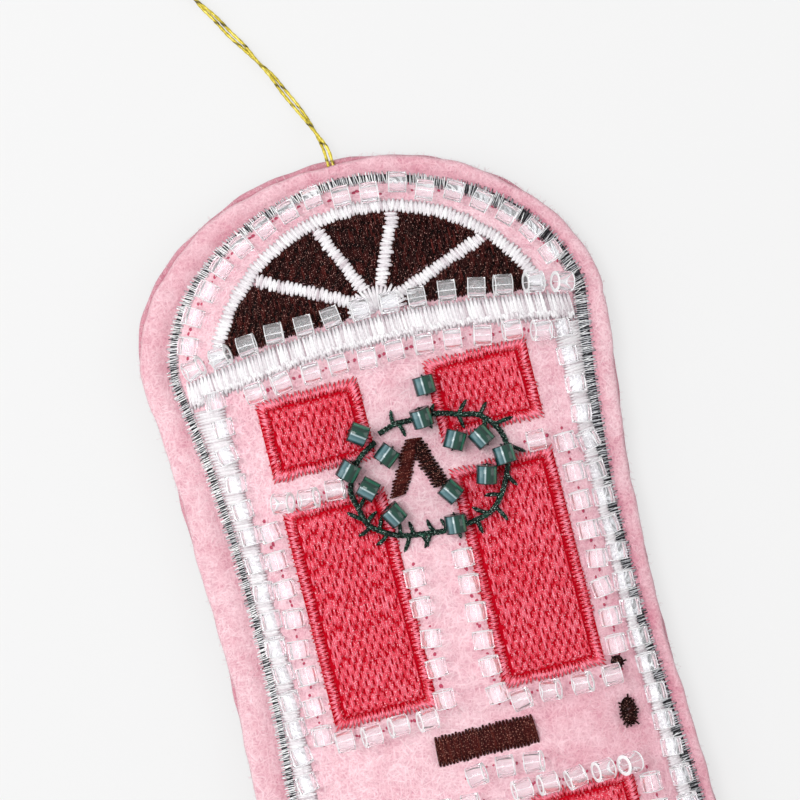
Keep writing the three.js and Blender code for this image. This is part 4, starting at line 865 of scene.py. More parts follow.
# One felt layer: rings from its middle line over its top, round its edge and back below
def feltSheet(name, edgeLoop, upper, lower, material):
    run, reach = puff["run"], np.hypot(seamShoulder, seamShoulder)
    insets = np.concatenate([np.linspace(0, run, 20), np.linspace(run * 1.15, reach, 8)])
    border = [seamLoop + (edgeLoop - seamLoop) * share for share in (1, 0.93, 0.8, 0.6, 0.4, 0.2)]
    plan = border + [towardsMiddle(seamLoop, inset) for inset in insets]
    top = [np.column_stack([ring, upper(ring[:, 0], ring[:, 1])]) for ring in plan]
    low = [np.column_stack([ring, lower(ring[:, 0], ring[:, 1])]) for ring in plan]
    edgeTop, edgeLow = top[0].copy(), low[0].copy()
    edgeTop[:, 2] -= felt["rimRound"]
    edgeLow[:, 2] += felt["rimRound"]
    bulge = seamLoop + (edgeLoop - seamLoop) * felt["rimBulge"]
    middle = np.column_stack([bulge, (edgeTop[:, 2] + edgeLow[:, 2]) / 2])
    places = np.array(top[::-1][:-1] + [edgeTop, middle, edgeLow] + low[1:])
    places = np.concatenate([places, places[:, :1]], 1)
    mesh = gridMesh(name, places, wrapAround=True, mergeAt=0.01)
    setFeltShading(mesh)
    return finishMesh(name, mesh, material)


# Flattens a felt's mating face round the thread's channel at the apex
def pocketed(height, depth):
    exitX, exitY, _ = loop["exit"]

    def shaped(x, y):
        near = np.exp(-((x - exitX) / felt["channelWidth"]) ** 4) * (y > exitY - felt["channelLength"])
        return height(x, y) + near * depth
    return shaped


# Rounds off the corners where an outline's parts meet
def softened(loop):
    for _ in range(felt["softening"]):
        loop = loop * 0.5 + (np.roll(loop, 1, 0) + np.roll(loop, -1, 0)) * 0.25
    return loop


# Small lumps of the front felt's border
def borderLumps(x, y):
    lumps = felt["lump"] * np.sin(x / 1.9 + 0.8) * np.sin(y / 2.4)
    lumps = lumps + felt["smallLump"] * np.sin(x / 0.9 + y / 3.1)
    return lumps * smoothShare((-distanceAt(x, y) - 0.8) / 1.2)


def addFelts():
    thickness = puff["feltThickness"]
    frontTop = lambda x, y: feltTop(x, y) + borderLumps(x, y)
    frontUnder = lambda x, y: feltTop(x, y) - thickness + borderLumps(x, y)
    backTop = lambda x, y: backLow(x, y) + thickness
    peek = smoothShare((feltLoop[:, 1] - 36) / 12) * smoothShare((18 - feltLoop[:, 0]) / 14)  # upper left
    frontEdge = wavyLoop(softened(feltLoop), felt["frontWave"], 0.4, -felt["frontTuck"] * peek)
    backEdge = wavyLoop(softened(feltLoop), felt["backWave"], 2.1, 0.05 + felt["backPeek"] * peek)
    frontUnder, backTop = pocketed(frontUnder, felt["frontChannel"]), pocketed(backTop, -felt["backChannel"])
    front = feltSheet("frontFeltLayer", frontEdge, frontTop, frontUnder, frontFelt)
    back = feltSheet("backFeltLayer", backEdge, backTop, backLow, backFelt)
    for obj, slot, node in ((front, "front_felt", "front_felt"), (back, "back_felt", "back_felt")):
        replaceNodes(obj, "door", slot, node)


padding = {"clear": 0.3, "headroom": 9, "insets": (2.5, 3.2, 4.5, 6.5, 9.0, 12.0, 15.5, 20.0, 40.0)}


# The filling, with room for the knot above its head
def addPadding():
    shoulder = seamLine["shoulderHeight"] - halfLift
    headShare = 1 - padding["headroom"] / layout["shoulderDrop"]
    wall = puff["feltThickness"] + padding["clear"]
    rings = []
    for inset in padding["insets"]:
        ring = towardsMiddle(seamLoop[::2], inset)
        lowered = shoulder + (ring[:, 1] - shoulder) * headShare
        ring[:, 1] = np.where(ring[:, 1] < shoulder, ring[:, 1], lowered)
        rings.append(ring)
    low = [np.column_stack([r, backLow(r[:, 0], r[:, 1]) + wall]) for r in rings]
    top = [np.column_stack([r, feltTop(r[:, 0], r[:, 1]) - wall]) for r in rings]
    rim = low[0].copy()
    rim[:, 2] = (low[0][:, 2] + top[0][:, 2]) / 2
    places = np.array(top[::-1] + [rim] + low)
    places = np.concatenate([places, places[:, :1]], 1)
    mesh = gridMesh("stuffingPad", places, wrapAround=True, mergeAt=0.01)
    obj = finishMesh("stuffingPad", mesh, fillingWool)
    replaceNodes(obj, "door", "padding", "stuffing_pad")


addPadding()
addFelts()
print("felts ready")


fibres = {
    "count": 4200, "area": (34, 58), "edge": 3.1, "length": (0.5, 1.7), "width": 0.035, "thickness": 0.03,
    "edgeWidth": 0.045, "edgeLength": (0.15, 0.75), "edgeDrop": (-2.3, -0.1),
}


# Loose wool fibres that lie over the felt and stand out of its cut edge
def addFibres():
    count, (wide, tall) = fibres["count"], fibres["area"]
    x = rng.uniform(-wide, wide, count * 2)
    y = rng.uniform(-tall, tall, count * 2)
    kept = distanceAt(x, y) > -fibres["edge"]
    starts = np.stack([x[kept], y[kept]], 1)[:count]
    angle = rng.uniform(0, 2 * np.pi, len(starts))
    length = rng.uniform(*fibres["length"], len(starts))
    ends = starts + np.stack([np.cos(angle), np.sin(angle)], 1) * length[:, None]
    inEdge = distanceAt(ends[:, 0], ends[:, 1]) > -fibres["edge"] - 0.1
    starts, ends = starts[inEdge], ends[inEdge]
    count = len(starts)
    surface = layThreads(
        "surfaceFibres", starts, ends, woolFibre, width=fibres["width"], thickness=fibres["thickness"],
        rise=rng.uniform(0.02, 0.1, count), bow=rng.uniform(-0.35, 0.35, count), sides=3, profile="fibre",
        shade=rng.uniform(0.2, 1.1, count), taper=0.8)
    edge = np.repeat(feltLoop, 4, 0) + rng.normal(0, 0.12, (len(feltLoop) * 4, 2))
    count = len(edge)
    outward = edge - np.array([0, -5.0])
    outward /= np.hypot(outward[:, 0], outward[:, 1])[:, None]
    turn = rng.uniform(-1.2, 1.2, count)
    away = np.stack([outward[:, 0] * np.cos(turn) - outward[:, 1] * np.sin(turn),
                     outward[:, 0] * np.sin(turn) + outward[:, 1] * np.cos(turn)], 1)
    reach = rng.uniform(*fibres["edgeLength"], count)[:, None]
    drop = rng.uniform(*fibres["edgeDrop"], count)
    edgeFibres = layThreads(
        "edgeFibres", edge - away * 0.2, edge + away * reach, woolFibre, width=fibres["edgeWidth"],
        thickness=fibres["edgeWidth"], rise=0.12, base=drop, bow=rng.uniform(-0.2, 0.2, count), sides=3,
        profile="edgeFibre", shade=rng.uniform(0.1, 0.9, count), taper=0.8)
    replaceNodes(joinPieces("feltFibres", [surface, edgeFibres]), "door", "front_felt")


addFibres()
print("fibres ready")


# Seam: silver strokes over dark ground, crossed by a few others, and its plain thread on the back
seam = {
    "width": 1.8, "pitch": 0.3, "raggedness": 0.2, "rightReach": 0.65, "rightShade": 0.34, "crossingEvery": 2.6,
    "groundInset": 0.15, "groundLift": 0.08,
    "stroke": {"thickness": 0.18, "taper": 0.8, "sides": 5},
    "crossing": {"thickness": 0.14, "taper": 0.8, "sides": 5},
    "backWidth": 1.0, "backPitch": 1.15,
    "backThread": {"width": 0.34, "thickness": 0.22, "rise": -0.16, "sides": 5},
}


# Points, outward directions and forward directions at even steps along the seam
def alongSeam(step):
    closed = np.concatenate([seamLoop, seamLoop[:1]])
    travelled = travelledAlong(closed)
    count = int(travelled[-1] / step)
    places = np.arange(count) / count * travelled[-1]
    points = pointsAt(places, travelled, closed)
    along = pointsAt((places + 0.4) % travelled[-1], travelled, closed) - points
    along /= np.maximum(np.hypot(along[:, 0], along[:, 1])[:, None], 1e-6)
    return points, np.stack([along[:, 1], -along[:, 0]], 1), along


# How much further out its strokes reach on the right, where they show past the beads
def rightReach(points):
    return seam["rightReach"] * smoothShare((points[:, :1] - 14) / 8)


# The ground, strokes and crossings of the front, and the slanting stitches of the back
def addSeam():
    points, outward, along = alongSeam(seam["pitch"])
    half, ragged = seam["width"] / 2, seam["raggedness"]
    count = len(points)
    # Painted shade: the strokes are darker towards the right
    shadeOnRight = seam["rightShade"] * smoothShare((points[:, 0] - 6) / 18)
    reach = half + rng.uniform(-ragged, ragged, (count, 1)) + rightReach(points)
    slant = rng.uniform(-0.05, 0.4, (count, 1))
    strokes = layThreads(
        "seamStrokes", points - outward * half, points + outward * reach + along * slant, silverThread,
        width=rng.uniform(0.13, 0.19, count), rise=rng.uniform(0.2, 0.36, count),
        shade=rng.choice([0.35, 0.6, 0.8, 1.0], count, p=[0.1, 0.2, 0.35, 0.35]) - shadeOnRight, **seam["stroke"])
    points, outward, along = alongSeam(seam["pitch"] * seam["crossingEvery"])
    count = len(points)
    slant = rng.uniform(-0.8, -0.3, (count, 1))
    crossings = layThreads(
        "seamCrossings", points + outward * half, points - outward * half + along * slant, silverThread,
        width=rng.uniform(0.1, 0.16, count), rise=rng.uniform(0.36, 0.5, count),
        shade=rng.choice([0.05, 0.6, 1.0], count, p=[0.3, 0.2, 0.5]), **seam["crossing"])
    closed = np.concatenate([points, points[:1]])
    away = np.concatenate([outward, outward[:1]])
    inset = half - seam["groundInset"]
    ground = layUnderlay("seamGround", closed - away * inset, closed + away * (inset + rightReach(closed)),
                         seamShadow, seam["groundLift"], columns=6)
    replaceNodes(ground, "door", "silver_thread")
    strokes = joinPieces("silverSeam", [strokes, crossings])
    replaceNodes(strokes, "door", "silver_thread", "silver_seam_stitch")
    step = seam["backPitch"]
    points, outward, along = alongSeam(step)
    side = np.where(np.arange(len(points)) % 2 == 0, 1, -1)[:, None] * seam["backWidth"] / 2
    starts, ends = points - outward * side, points + along * step + outward * side
    under = layThreads("backSeam", starts, ends, pinkThread, heightAt=lambda x, y: backLow(x, y) + 0.02,
                       **seam["backThread"])
    replaceNodes(under, "door", "pale_pink_thread", "back_seam_stitch")


addSeam()
print("seam ready")


# Stitched door, in mm, with the settings of each kind of stitch
stitch = {"pitch": 0.4, "arch": 1.9, "bar": 1.7}
panelStitch = {
    "rim": 1.85, "rimStep": 0.25, "rimFan": 2.5, "rimWave": 0.07, "groove": 0.3,
    "groundInset": 0.2, "groundStep": 1.4, "groundLift": 0.12, "groundColumn": 1.5,
    "fieldPitch": 0.265, "fieldLength": 2.3, "fieldJag": 0.15, "slant": 0.1, "underRim": 0.05,
    "divedTone": (0.5, 0.08), "plainTone": (0.45, 0.09),
    # The darker dipping ends and bright middles of the stitches are painted shade and painted highlight
    "rimThread": {
        "pitch": 0.56, "jag": 0.22, "width": 0.27, "rise": 0.5, "endShade": 0.45, "spread": 0.1,
        "shade": 0.36, "paintedGlint": 0.85, "profile": "rim",
    },
    "divedThread": {
        "width": 0.34, "thickness": 0.28, "rise": 0.32, "taper": 0.3, "endShade": 0.36, "paintedGlint": 0.14,
        "profile": "dived",
    },
    "plainThread": {
        "width": 0.33, "thickness": 0.28, "rise": 0.3, "taper": 0.6, "endShade": 0.3, "paintedGlint": 0.14,
        "profile": "plain",
    },
}


# From a height over the seam's foot to a place in the object's frame
def layoutY(height):
    return height - halfLift


def stepsBetween(low, high, pitch=stitch["pitch"]):
    return np.linspace(low, high, max(2, int(round((high - low) / pitch))))


# Unit directions at the given turns
def spokes(turn):
    return np.stack([np.cos(turn), np.sin(turn)], -1)


def leftOf(along):
    return np.array([-along[1], along[0]])


# The feet and heads of upright stitches
def uprights(x, low, high, lean=0.0):
    return np.stack([x + lean, np.full_like(x, low)], 1), np.stack([x - lean, np.full_like(x, high)], 1)


# Outer and inner rails of a rim sewn round a rectangle, whose stitches fan out at its corners
def rimLadder(left, right, low, high):
    corners = [(left, low), (right, low), (right, high), (left, high)]
    width, fanned = panelStitch["rim"], panelStitch["rimFan"]
    outer, inner = [], []
    for index, corner in enumerate(corners):
        corner, following = np.array(corner), np.array(corners[(index + 1) % 4])
        length = np.hypot(*(following - corner))
        along = (following - corner) / length
        s = np.linspace(0, length, int(length / panelStitch["rimStep"]), endpoint=False)
        reach = fanned * width
        t = np.where(s < reach, width + s * (fanned - 1) / fanned, s)
        t = np.where(length - s < reach, length - width - (length - s) * (fanned - 1) / fanned, t)
        outer.append(corner + along * s[:, None])
        inner.append(corner + along * t[:, None] + leftOf(along) * width)
    outer, inner = np.concatenate(outer), np.concatenate(inner)
    return np.concatenate([outer, outer[:1]]), np.concatenate([inner, inner[:1]])


# A panel: its rim, and a field whose stitches dive under at staggered joints between plain ones
def addPanel(node, side, base, height):
    inner = shift + side * layout["stile"] / 2
    left, right = sorted((inner, inner + side * layout["panelWidth"]))
    low, high = layoutY(base), layoutY(base + height)
    a, b = rimLadder(left, right, low, high)
    wave = panelStitch["rimWave"] * np.sin(np.arange(len(a)) / 9.0 + base)
    a = a + (a - b) / np.hypot(*(a - b).T)[:, None] * wave[:, None]
    rimThreads = satinThreads(node + "Rim", a, b, redThread, **panelStitch["rimThread"])
    inset = panelStitch["groundInset"]
    x = stepsBetween(left + inset, right - inset, panelStitch["groundStep"])
    # The ground's darker red shows in the groove inside the rim and between stitches as painted shade
    ground = layUnderlay(node + "Ground", *uprights(x, low + inset, high - inset), redShadeGround,
                         panelStitch["groundLift"], columns=max(4, int(height / panelStitch["groundColumn"])))
    replaceNodes(ground, "door", "red_thread")
    inset = panelStitch["rim"] + panelStitch["groove"]
    x = stepsBetween(left + inset, right - inset, panelStitch["fieldPitch"])
    inset, jag = panelStitch["rim"] - panelStitch["underRim"], panelStitch["fieldJag"]
    a, b = uprights(x, low + inset, high - inset, panelStitch["slant"])
    a, b = jagged(a, b, jag), jagged(b, a, jag)
    number = np.arange(len(x))
    cut = number % 2 == 0
    length = panelStitch["fieldLength"]
    starts, ends = breakRuns(a[cut], b[cut], length, (number[cut] // 2 % 2) / 2)
    shade = rng.normal(*panelStitch["divedTone"], len(starts))
    dived = layThreads(node + "Dived", starts, ends, redThread, shade=shade, **panelStitch["divedThread"])
    starts, ends = breakRuns(a[~cut], b[~cut], length * 2, rng.uniform(0, 0.6, (~cut).sum()))
    shade = rng.normal(*panelStitch["plainTone"], len(starts))
    plain = layThreads(node + "Plain", starts, ends, redThread, shade=shade, **panelStitch["plainThread"])
    replaceNodes(joinPieces(node + "Stitches", [dived, plain, rimThreads]), "door", "red_thread", node)


for place, base in (("upper", upperBase), ("tall", tallBase), ("bottom", bottomBase)):
    for sideName, side in (("left", -1), ("right", 1)):
        addPanel(f"{place}_{sideName}_panel", side, base, layout[place + "Panel"])
print("panels ready")


# Transom, pilasters and fanlight
transom = {
    "insets": (0.65, 0.7), "step": 0.28, "clear": 0.2, "tierFrom": 0.12, "tierLength": 0.32,
    "stitches": {
        "pitch": 0.56, "jag": 0.3, "width": 0.42, "rise": 0.44, "taper": 0.2, "endShade": 0.3, "spread": 0.2,
    },
    "tier": {
        "pitch": 0.62, "jag": 0.25, "width": 0.4, "rise": 0.56, "taper": 0.2, "endShade": 0.5, "spread": 0.2,
    },
}
pilaster = {
    "foot": 2.05, "underTransom": 0.2, "leftOverSeam": 0.6, "rightOverSeam": 0.0, "besidePanel": 0.15,
    "stitches": {"pitch": 0.44, "jag": 0.12, "rise": 0.6, "taper": 0.5},
}
fan = {
    "hubShift": 0.5, "hubRise": 0.6, "hubRadius": 3.8, "hubReach": (4.7, 4.3), "hubCore": (0.5, 0.2),
    "bars": (20.5, 67.5, 114.5, 153.5), "barsFrom": 0.6, "intoArch": 0.2, "intoPane": 0.25, "paneUnder": 0.4,
    "paneStep": 0.3, "narrowest": 0.5,
    "archStitches": {"pitch": 0.62, "jag": 0.2, "taper": 0.15, "width": 0.46},
    "barStitches": {"pitch": 0.62, "jag": 0.24, "rise": 0.56, "taper": 0.15, "width": 0.46},
    "hubStitches": {"pitch": 0.4, "rise": 0.62, "jag": 0.3, "taper": 0.4, "width": 0.5},
    "paneStitches": {"width": 0.34, "rise": 0.34, "taper": 0.45, "profile": "pane"},
    "paneLength": 2.4, "paneJoints": 4, "paneJag": 0.15,
}
fanMiddle = np.array(fanCentre)
hubCentre = np.array([shift + fan["hubShift"], layoutY(fanBase) + fan["hubRise"]])


# How far the transom has sagged at each place
def transomDrop(x):
    return layout["transomSag"] * ((x - layout["transomShift"]) / seamShoulder) ** 2


# The transom's stitches, and a short second tier over their feet
def addTransom():
    half, seamMiddle = sideAt(seamLine, transomBase - layout["transomSag"])
    left, right = transom["insets"]
    x = stepsBetween(seamMiddle - half + left, seamMiddle + half - right, transom["step"])
    middle = layoutY(transomBase + layout["transom"] / 2) - transomDrop(x)
    half = (layout["transom"] - transom["clear"]) / 2
    a, b = np.stack([x, middle - half], 1), np.stack([x, middle + half], 1)
    ground = layUnderlay("transomGround", a, b, whiteThread, columns=6)
    threads = satinThreads("transomStitches", a, b, whiteThread, **transom["stitches"])
    a = a + (b - a) * transom["tierFrom"]
    b = a + (b - a) * transom["tierLength"]
    tier = satinThreads("transomTier", a, b, whiteThread, **transom["tier"])
    stitches = joinPieces("transomStitches", [threads, tier, ground])
    replaceNodes(stitches, "door", "white_thread", "transom_stitch")


# Where a line beside the panels stands at a height: it leans out towards the foot
def besidePanels(side, reach, heights):
    lean = layout["pilasterFlare"] * smoothShare((layout["waistHeight"] - heights) / layout["waistHeight"])
    return shift + side * (panelOuter + reach + lean)


def addPilaster(sideName, side):
    top = transomBase - transomDrop(side * seamWaist) - pilaster["underTransom"]
    heights = stepsBetween(pilaster["foot"], top)
    half, middle = sideAt(seamLine, heights)
    outer = middle + side * (half - pilaster[sideName + "OverSeam"])
    inner = besidePanels(side, layout["pilasterSpace"] - pilaster["besidePanel"], heights)
    a, b = (np.stack([x, layoutY(heights)], 1) for x in (outer, inner))
    satinBlock(f"{sideName}_pilasterSatin", f"{sideName}_pilaster_stitch", a, b, whiteThread, "white_thread",
               **pilaster["stitches"])


# Where a line from a point meets the arch
def reachToArch(start, degrees, radius):
    direction = spokes(math.radians(degrees))
    offset = start - fanMiddle
    along = offset @ direction
    return start + direction * (math.sqrt(radius ** 2 - offset @ offset + along ** 2) - along)


# The angle above level at which one leg of the arch meets the transom
def archFootTurn(side, radius):
    footHeight = layoutY(fanBase) - transomDrop(fanCentre[0] + side * radius) + 0.1
    return math.asin((footHeight - fanCentre[1]) / radius)


# The arch, its bars and the hub
def addFanlight():
    radius, inner = layout["fanRadius"], layout["fanRadius"] - stitch["arch"]
    into = fan["intoArch"]
    turn = stepsBetween(archFootTurn(1, inner), math.pi - archFootTurn(-1, inner), stitch["pitch"] / radius)
    rails = [fanMiddle + spokes(turn) * reach for reach in (radius + into, inner - fan["intoPane"])]
    satinBlock("fanlightArch", "fanlight_arch_stitch", *rails, whiteThread, "white_thread",
               **fan["archStitches"])
    for number, degrees in enumerate(fan["bars"], 1):
        direction = spokes(math.radians(degrees))
        sideways = leftOf(direction) * (stitch["bar"] / 2 + fan["intoPane"])
        root = hubCentre + direction * (fan["hubRadius"] - fan["barsFrom"])
        tip = reachToArch(root, degrees, inner - into)
        share = stepsBetween(0, 1, stitch["pitch"] / np.hypot(*(tip - root)))
        middle = root + (tip - root) * share[:, None]
        satinBlock(f"fanlightBar{number}", f"fanlight_bar_{number}", middle - sideways, middle + sideways,
                   whiteThread, "white_thread", **fan["barStitches"])
    spoke = spokes(np.linspace(0.06, math.pi - 0.06, 30))
    base = hubCentre - np.array([0, fan["hubRise"]])
    rails = [base + spoke * np.array(reach) for reach in (fan["hubReach"], fan["hubCore"])]
    satinBlock("fanlightHub", "fanlight_hub_stitch", *rails, whiteThread, "white_thread",
               **fan["hubStitches"])


# Lowest and highest crossing of a vertical line with a polygon
def insideSpan(polygon, x):
    following = np.roll(polygon, -1, 0)
    crossings = []
    for (ax, ay), (bx, by) in zip(polygon, following):
        if (ax - x) * (bx - x) < 0:
            crossings.append(ay + (by - ay) * (x - ax) / (bx - ax))
    return (min(crossings), max(crossings)) if len(crossings) > 1 else None


# The side of a pane that runs beside a bar, from the hub to the arch
def paneEdge(degrees, side):
    direction = spokes(math.radians(degrees))
    start = hubCentre + leftOf(direction) * side * (stitch["bar"] / 2 - fan["intoPane"])
    radius = layout["fanRadius"] - stitch["arch"] + fan["paneUnder"]
    return np.array([start + direction * (fan["hubRadius"] - 1.0), reachToArch(start, degrees, radius)])


# The foot of an end pane, which follows the transom from the hub to the arch
def paneFoot(side):
    radius = layout["fanRadius"] - stitch["arch"] + fan["paneUnder"]
    outer = fanCentre[0] + side * radius * math.cos(archFootTurn(side, radius))
    x = np.linspace(hubCentre[0] + side * (fan["hubRadius"] - 0.1), outer, 6)
    return np.stack([x, layoutY(fanBase) - transomDrop(x) + 0.05], 1)


# Panes of short upright stitches with staggered joints, over their ground
def addPanes():
    sides = [paneFoot(1)]
    for degrees in fan["bars"]:
        sides += [paneEdge(degrees, -1), paneEdge(degrees, 1)]
    sides.append(paneFoot(-1))
    for number, (first, second) in enumerate(zip(sides[::2], sides[1::2]), 1):
        turnA, turnB = (math.atan2(*(line[-1] - fanMiddle)[::-1]) for line in (first, second))
        arc = fanMiddle + spokes(np.linspace(turnA, turnB, 14)) * np.hypot(*(first[-1] - fanMiddle))
        polygon = np.concatenate([first[:-1], arc, second[:-1][::-1]])
        a, b = [], []
        for x in stepsBetween(polygon[:, 0].min() + 0.1, polygon[:, 0].max() - 0.1, fan["paneStep"]):
            span = insideSpan(polygon, x)
            if span and span[1] - span[0] > fan["narrowest"]:
                a.append((x, span[0]))
                b.append((x, span[1]))
        a, b = np.array(a), np.array(b)
        name, jag = f"fanlightPane{number}", fan["paneJag"]
        shares = (np.arange(len(a)) % fan["paneJoints"]) / fan["paneJoints"] * 0.72
        starts, ends = breakRuns(jagged(a, b, jag), jagged(b, a, jag), fan["paneLength"], shares)
        ground = layUnderlay(name + "Ground", a, b, brownThread, columns=8)
        threads = layThreads(name, starts, ends, brownThread, **fan["paneStitches"])
        replaceNodes(joinPieces(name, [threads, ground]), "door", "brown_thread", f"fanlight_pane_{number}")


addTransom()
addPilaster("left", -1)
addPilaster("right", 1)
addFanlight()
addPanes()
print("fanlight ready")


# Knocker, mail slot, knob and deadbolt
furniture = {
    "slot": (14.4, 4.6), "slotDrop": 3.9, "slotShift": 0.6, "knob": (2.8, 4.6), "knobDrop": 7.2,
    "bolt": 2.3, "boltShift": 0.3,
    "knockerHeight": 7.4, "knockerSpread": 3.2, "knockerWidth": 2.9, "knockerLean": 0.9, "knockerRise": 5.4,
    # The left leg's lighter shade is a painted sheen and the right leg's near-black a painted shade
    "knockerLegs": ((-1, 0.62, 0.5), (1, 0.55, 0.08)),  # side, rise and shade
    "slotStitches": {"pitch": 0.5, "jag": 0.14, "shade": 0.42, "spread": 0.1, "width": 0.52, "taper": 0.45},
    "patchStitches": {
        "pitch": 0.34, "jag": 0.3, "width": 0.3, "shade": 0.3, "taper": 0.15, "profile": "radial",
    },
    "knockerStitches": {"pitch": 0.5, "jag": 0.2},
}


# An oval patch whose stitches run from its rim to its core
def radialPatch(name, node, x, y, width, height):
    spoke = spokes(np.linspace(0, 2 * np.pi, max(14, int(width * 9)), endpoint=False))
    spoke = np.concatenate([spoke, spoke[:1]])
    rimPoints = np.array([x, y]) + spoke * np.array([width, height]) / 2
    core = np.array([x, y]) + spoke * np.array([0.1, max(0.1, (height - width) / 2)])
    satinBlock(name, node, rimPoints, core, brownThread, "brown_thread", **furniture["patchStitches"])


def addFurniture():
    width, height = furniture["slot"]
    middleX = shift + furniture["slotShift"]
    top = layoutY(tallBase - furniture["slotDrop"])
    x = stepsBetween(middleX - width / 2, middleX + width / 2, 0.41)
    satinBlock("mailSlot", "mail_slot_stitch", *uprights(x, top - height, top), slotThread, "brown_thread",
               **furniture["slotStitches"])
    edge, (width, height), bolt = shift + panelOuter, furniture["knob"], furniture["bolt"]
    y = layoutY(tallBase - furniture["knobDrop"])
    radialPatch("doorKnob", "door_knob_stitch", edge + width / 2, y, width, height)
    x = edge + furniture["boltShift"] + bolt / 2
    radialPatch("deadbolt", "deadbolt_stitch", x, layoutY(tallBase), bolt, bolt)
    apexHeight = tallBase + layout["tallPanel"] + furniture["knockerRise"]
    apex = np.array([shift + furniture["knockerLean"], layoutY(apexHeight)])
    across = np.array([furniture["knockerWidth"] / 2, 0])
    inner = across * 0.8
    legs = []
    for side, rise, shade in furniture["knockerLegs"]:
        foot = np.array([shift + side * furniture["knockerSpread"], apex[1] - furniture["knockerHeight"]])
        along = foot - apex
        middle = apex + along * stepsBetween(0, 1, 0.3 / np.hypot(*along))[:, None]
        legs.append(satinThreads("knockerLeg", middle - across, middle + across, slotThread, rise=rise,
                                 shade=shade, **furniture["knockerStitches"]))
        legs.append(layUnderlay("knockerGround", middle - inner, middle + inner, slotThread, 0.12))
    replaceNodes(joinPieces("knocker", legs), "door", "brown_thread", "knocker_stitch")


addFurniture()
print("furniture ready")


# Beads
bead = {
    "diameter": 3.0, "length": 2.5, "bore": 2.05, "lift": 0.62, "pitch": 4.15, "pilasterPitch": 4.07,
    "thread": 0.1, "cut": 0.1, "cutProud": 0.03, "clearance": 0.3, "outerOffset": 2.0, "innerOffset": 0.85,
    "wreathRoom": 12.5, "archInset": 1.0, "archShift": 0.7, "archGapLeft": 0.5, "archGapRight": 1.95,
    "archDips": ((0.4, 1.2), (4.4, 1.3), (11.5, 1.1)), "dipWidth": 1.6,
    "placeSpread": 0.12, "tiltSpread": 0.07, "pitchSpread": 0.05, "holeReach": (0.12, 0.3),
    "holeBeside": 0.45,
}


# A cut glass cylinder with a bore: its wall section spun about X
def beadTemplate(name, diameter, length, bore, steps=28, fillet=0.08):
    outer, inner, half = diameter / 2, bore / 2, length / 2
    section = [
        (-half + fillet, inner), (-half, inner + fillet * 0.7), (-half, outer - fillet),
        (-half + fillet * 0.8, outer), (half - fillet * 0.8, outer), (half, outer - fillet),
        (half, inner + fillet * 0.7), (half - fillet, inner),
    ]
    bm = bmesh.new()
    verts = [bm.verts.new((x * mm, 0, r * mm)) for x, r in section]
    edges = [bm.edges.new((verts[k], verts[(k + 1) % len(verts)])) for k in range(len(verts))]
    bmesh.ops.spin(bm, geom=verts + edges, cent=(0, 0, 0), axis=(1, 0, 0), angle=2 * math.pi, steps=steps,
                   use_merge=True)
    bmesh.ops.recalc_face_normals(bm, faces=bm.faces)
    return meshFrom(bm, name)


clearBead = beadTemplate("clearBead", bead["diameter"], bead["length"], bead["bore"])
cutEnd = beadTemplate("cutEnd", bead["diameter"] + bead["cutProud"], bead["cut"],
                      bead["bore"] - bead["cutProud"], fillet=0.03)


# Turns a bead along its row and with the felt's slope, then seats it
def beadFrame(x, y, angle, lift, roll=0.0, pitch=0.0):
    dx, dy = math.cos(angle) * 1.2, math.sin(angle) * 1.2
    z = float(feltTop(x, y))
    slope = math.atan2(float(feltTop(x + dx, y + dy) - feltTop(x - dx, y - dy)), 2.4)
    rise = abs(math.sin(pitch)) * bead["length"] * 0.3
    place = Matrix.Translation((x * mm, y * mm, (z + lift + bead["diameter"] / 2 + rise) * mm))
    turn = Matrix.Rotation(angle, 4, "Z") @ Matrix.Rotation(-slope - pitch, 4, "Y")
    return place @ (turn @ Matrix.Rotation(roll, 4, "X"))


# Copies of a template at the given places, as one piece
def placeCopies(name, template, frames, material):
    unit = np.column_stack([readVertices(template), np.ones(len(template.vertices))])
    mesh = repeatMesh(template, len(frames))
    places = np.stack([(unit @ np.array(turn).T)[:, :3] for turn in frames])
    mesh.vertices.foreach_set("co", places.reshape(-1).astype(np.float32))
    mesh.update()
    return finishMesh(name, mesh, material)


# A bead's centre and the way it points
def centreAndAxis(turn):
    return np.array(turn.translation) / mm, np.array(turn.to_3x3() @ Vector((1, 0, 0)))


# A ring at both cut ends of each bead; the clear beads' near-white rings are a painted highlight of their
# rims
def addCutEnds(node, template, frames, reach, material, slot):
    ends = [turn @ Matrix.Translation((way * reach * mm, 0, 0)) for turn in frames for way in (-1, 1)]
    replaceNodes(placeCopies(node + "_ends", template, ends, material), "door", slot)


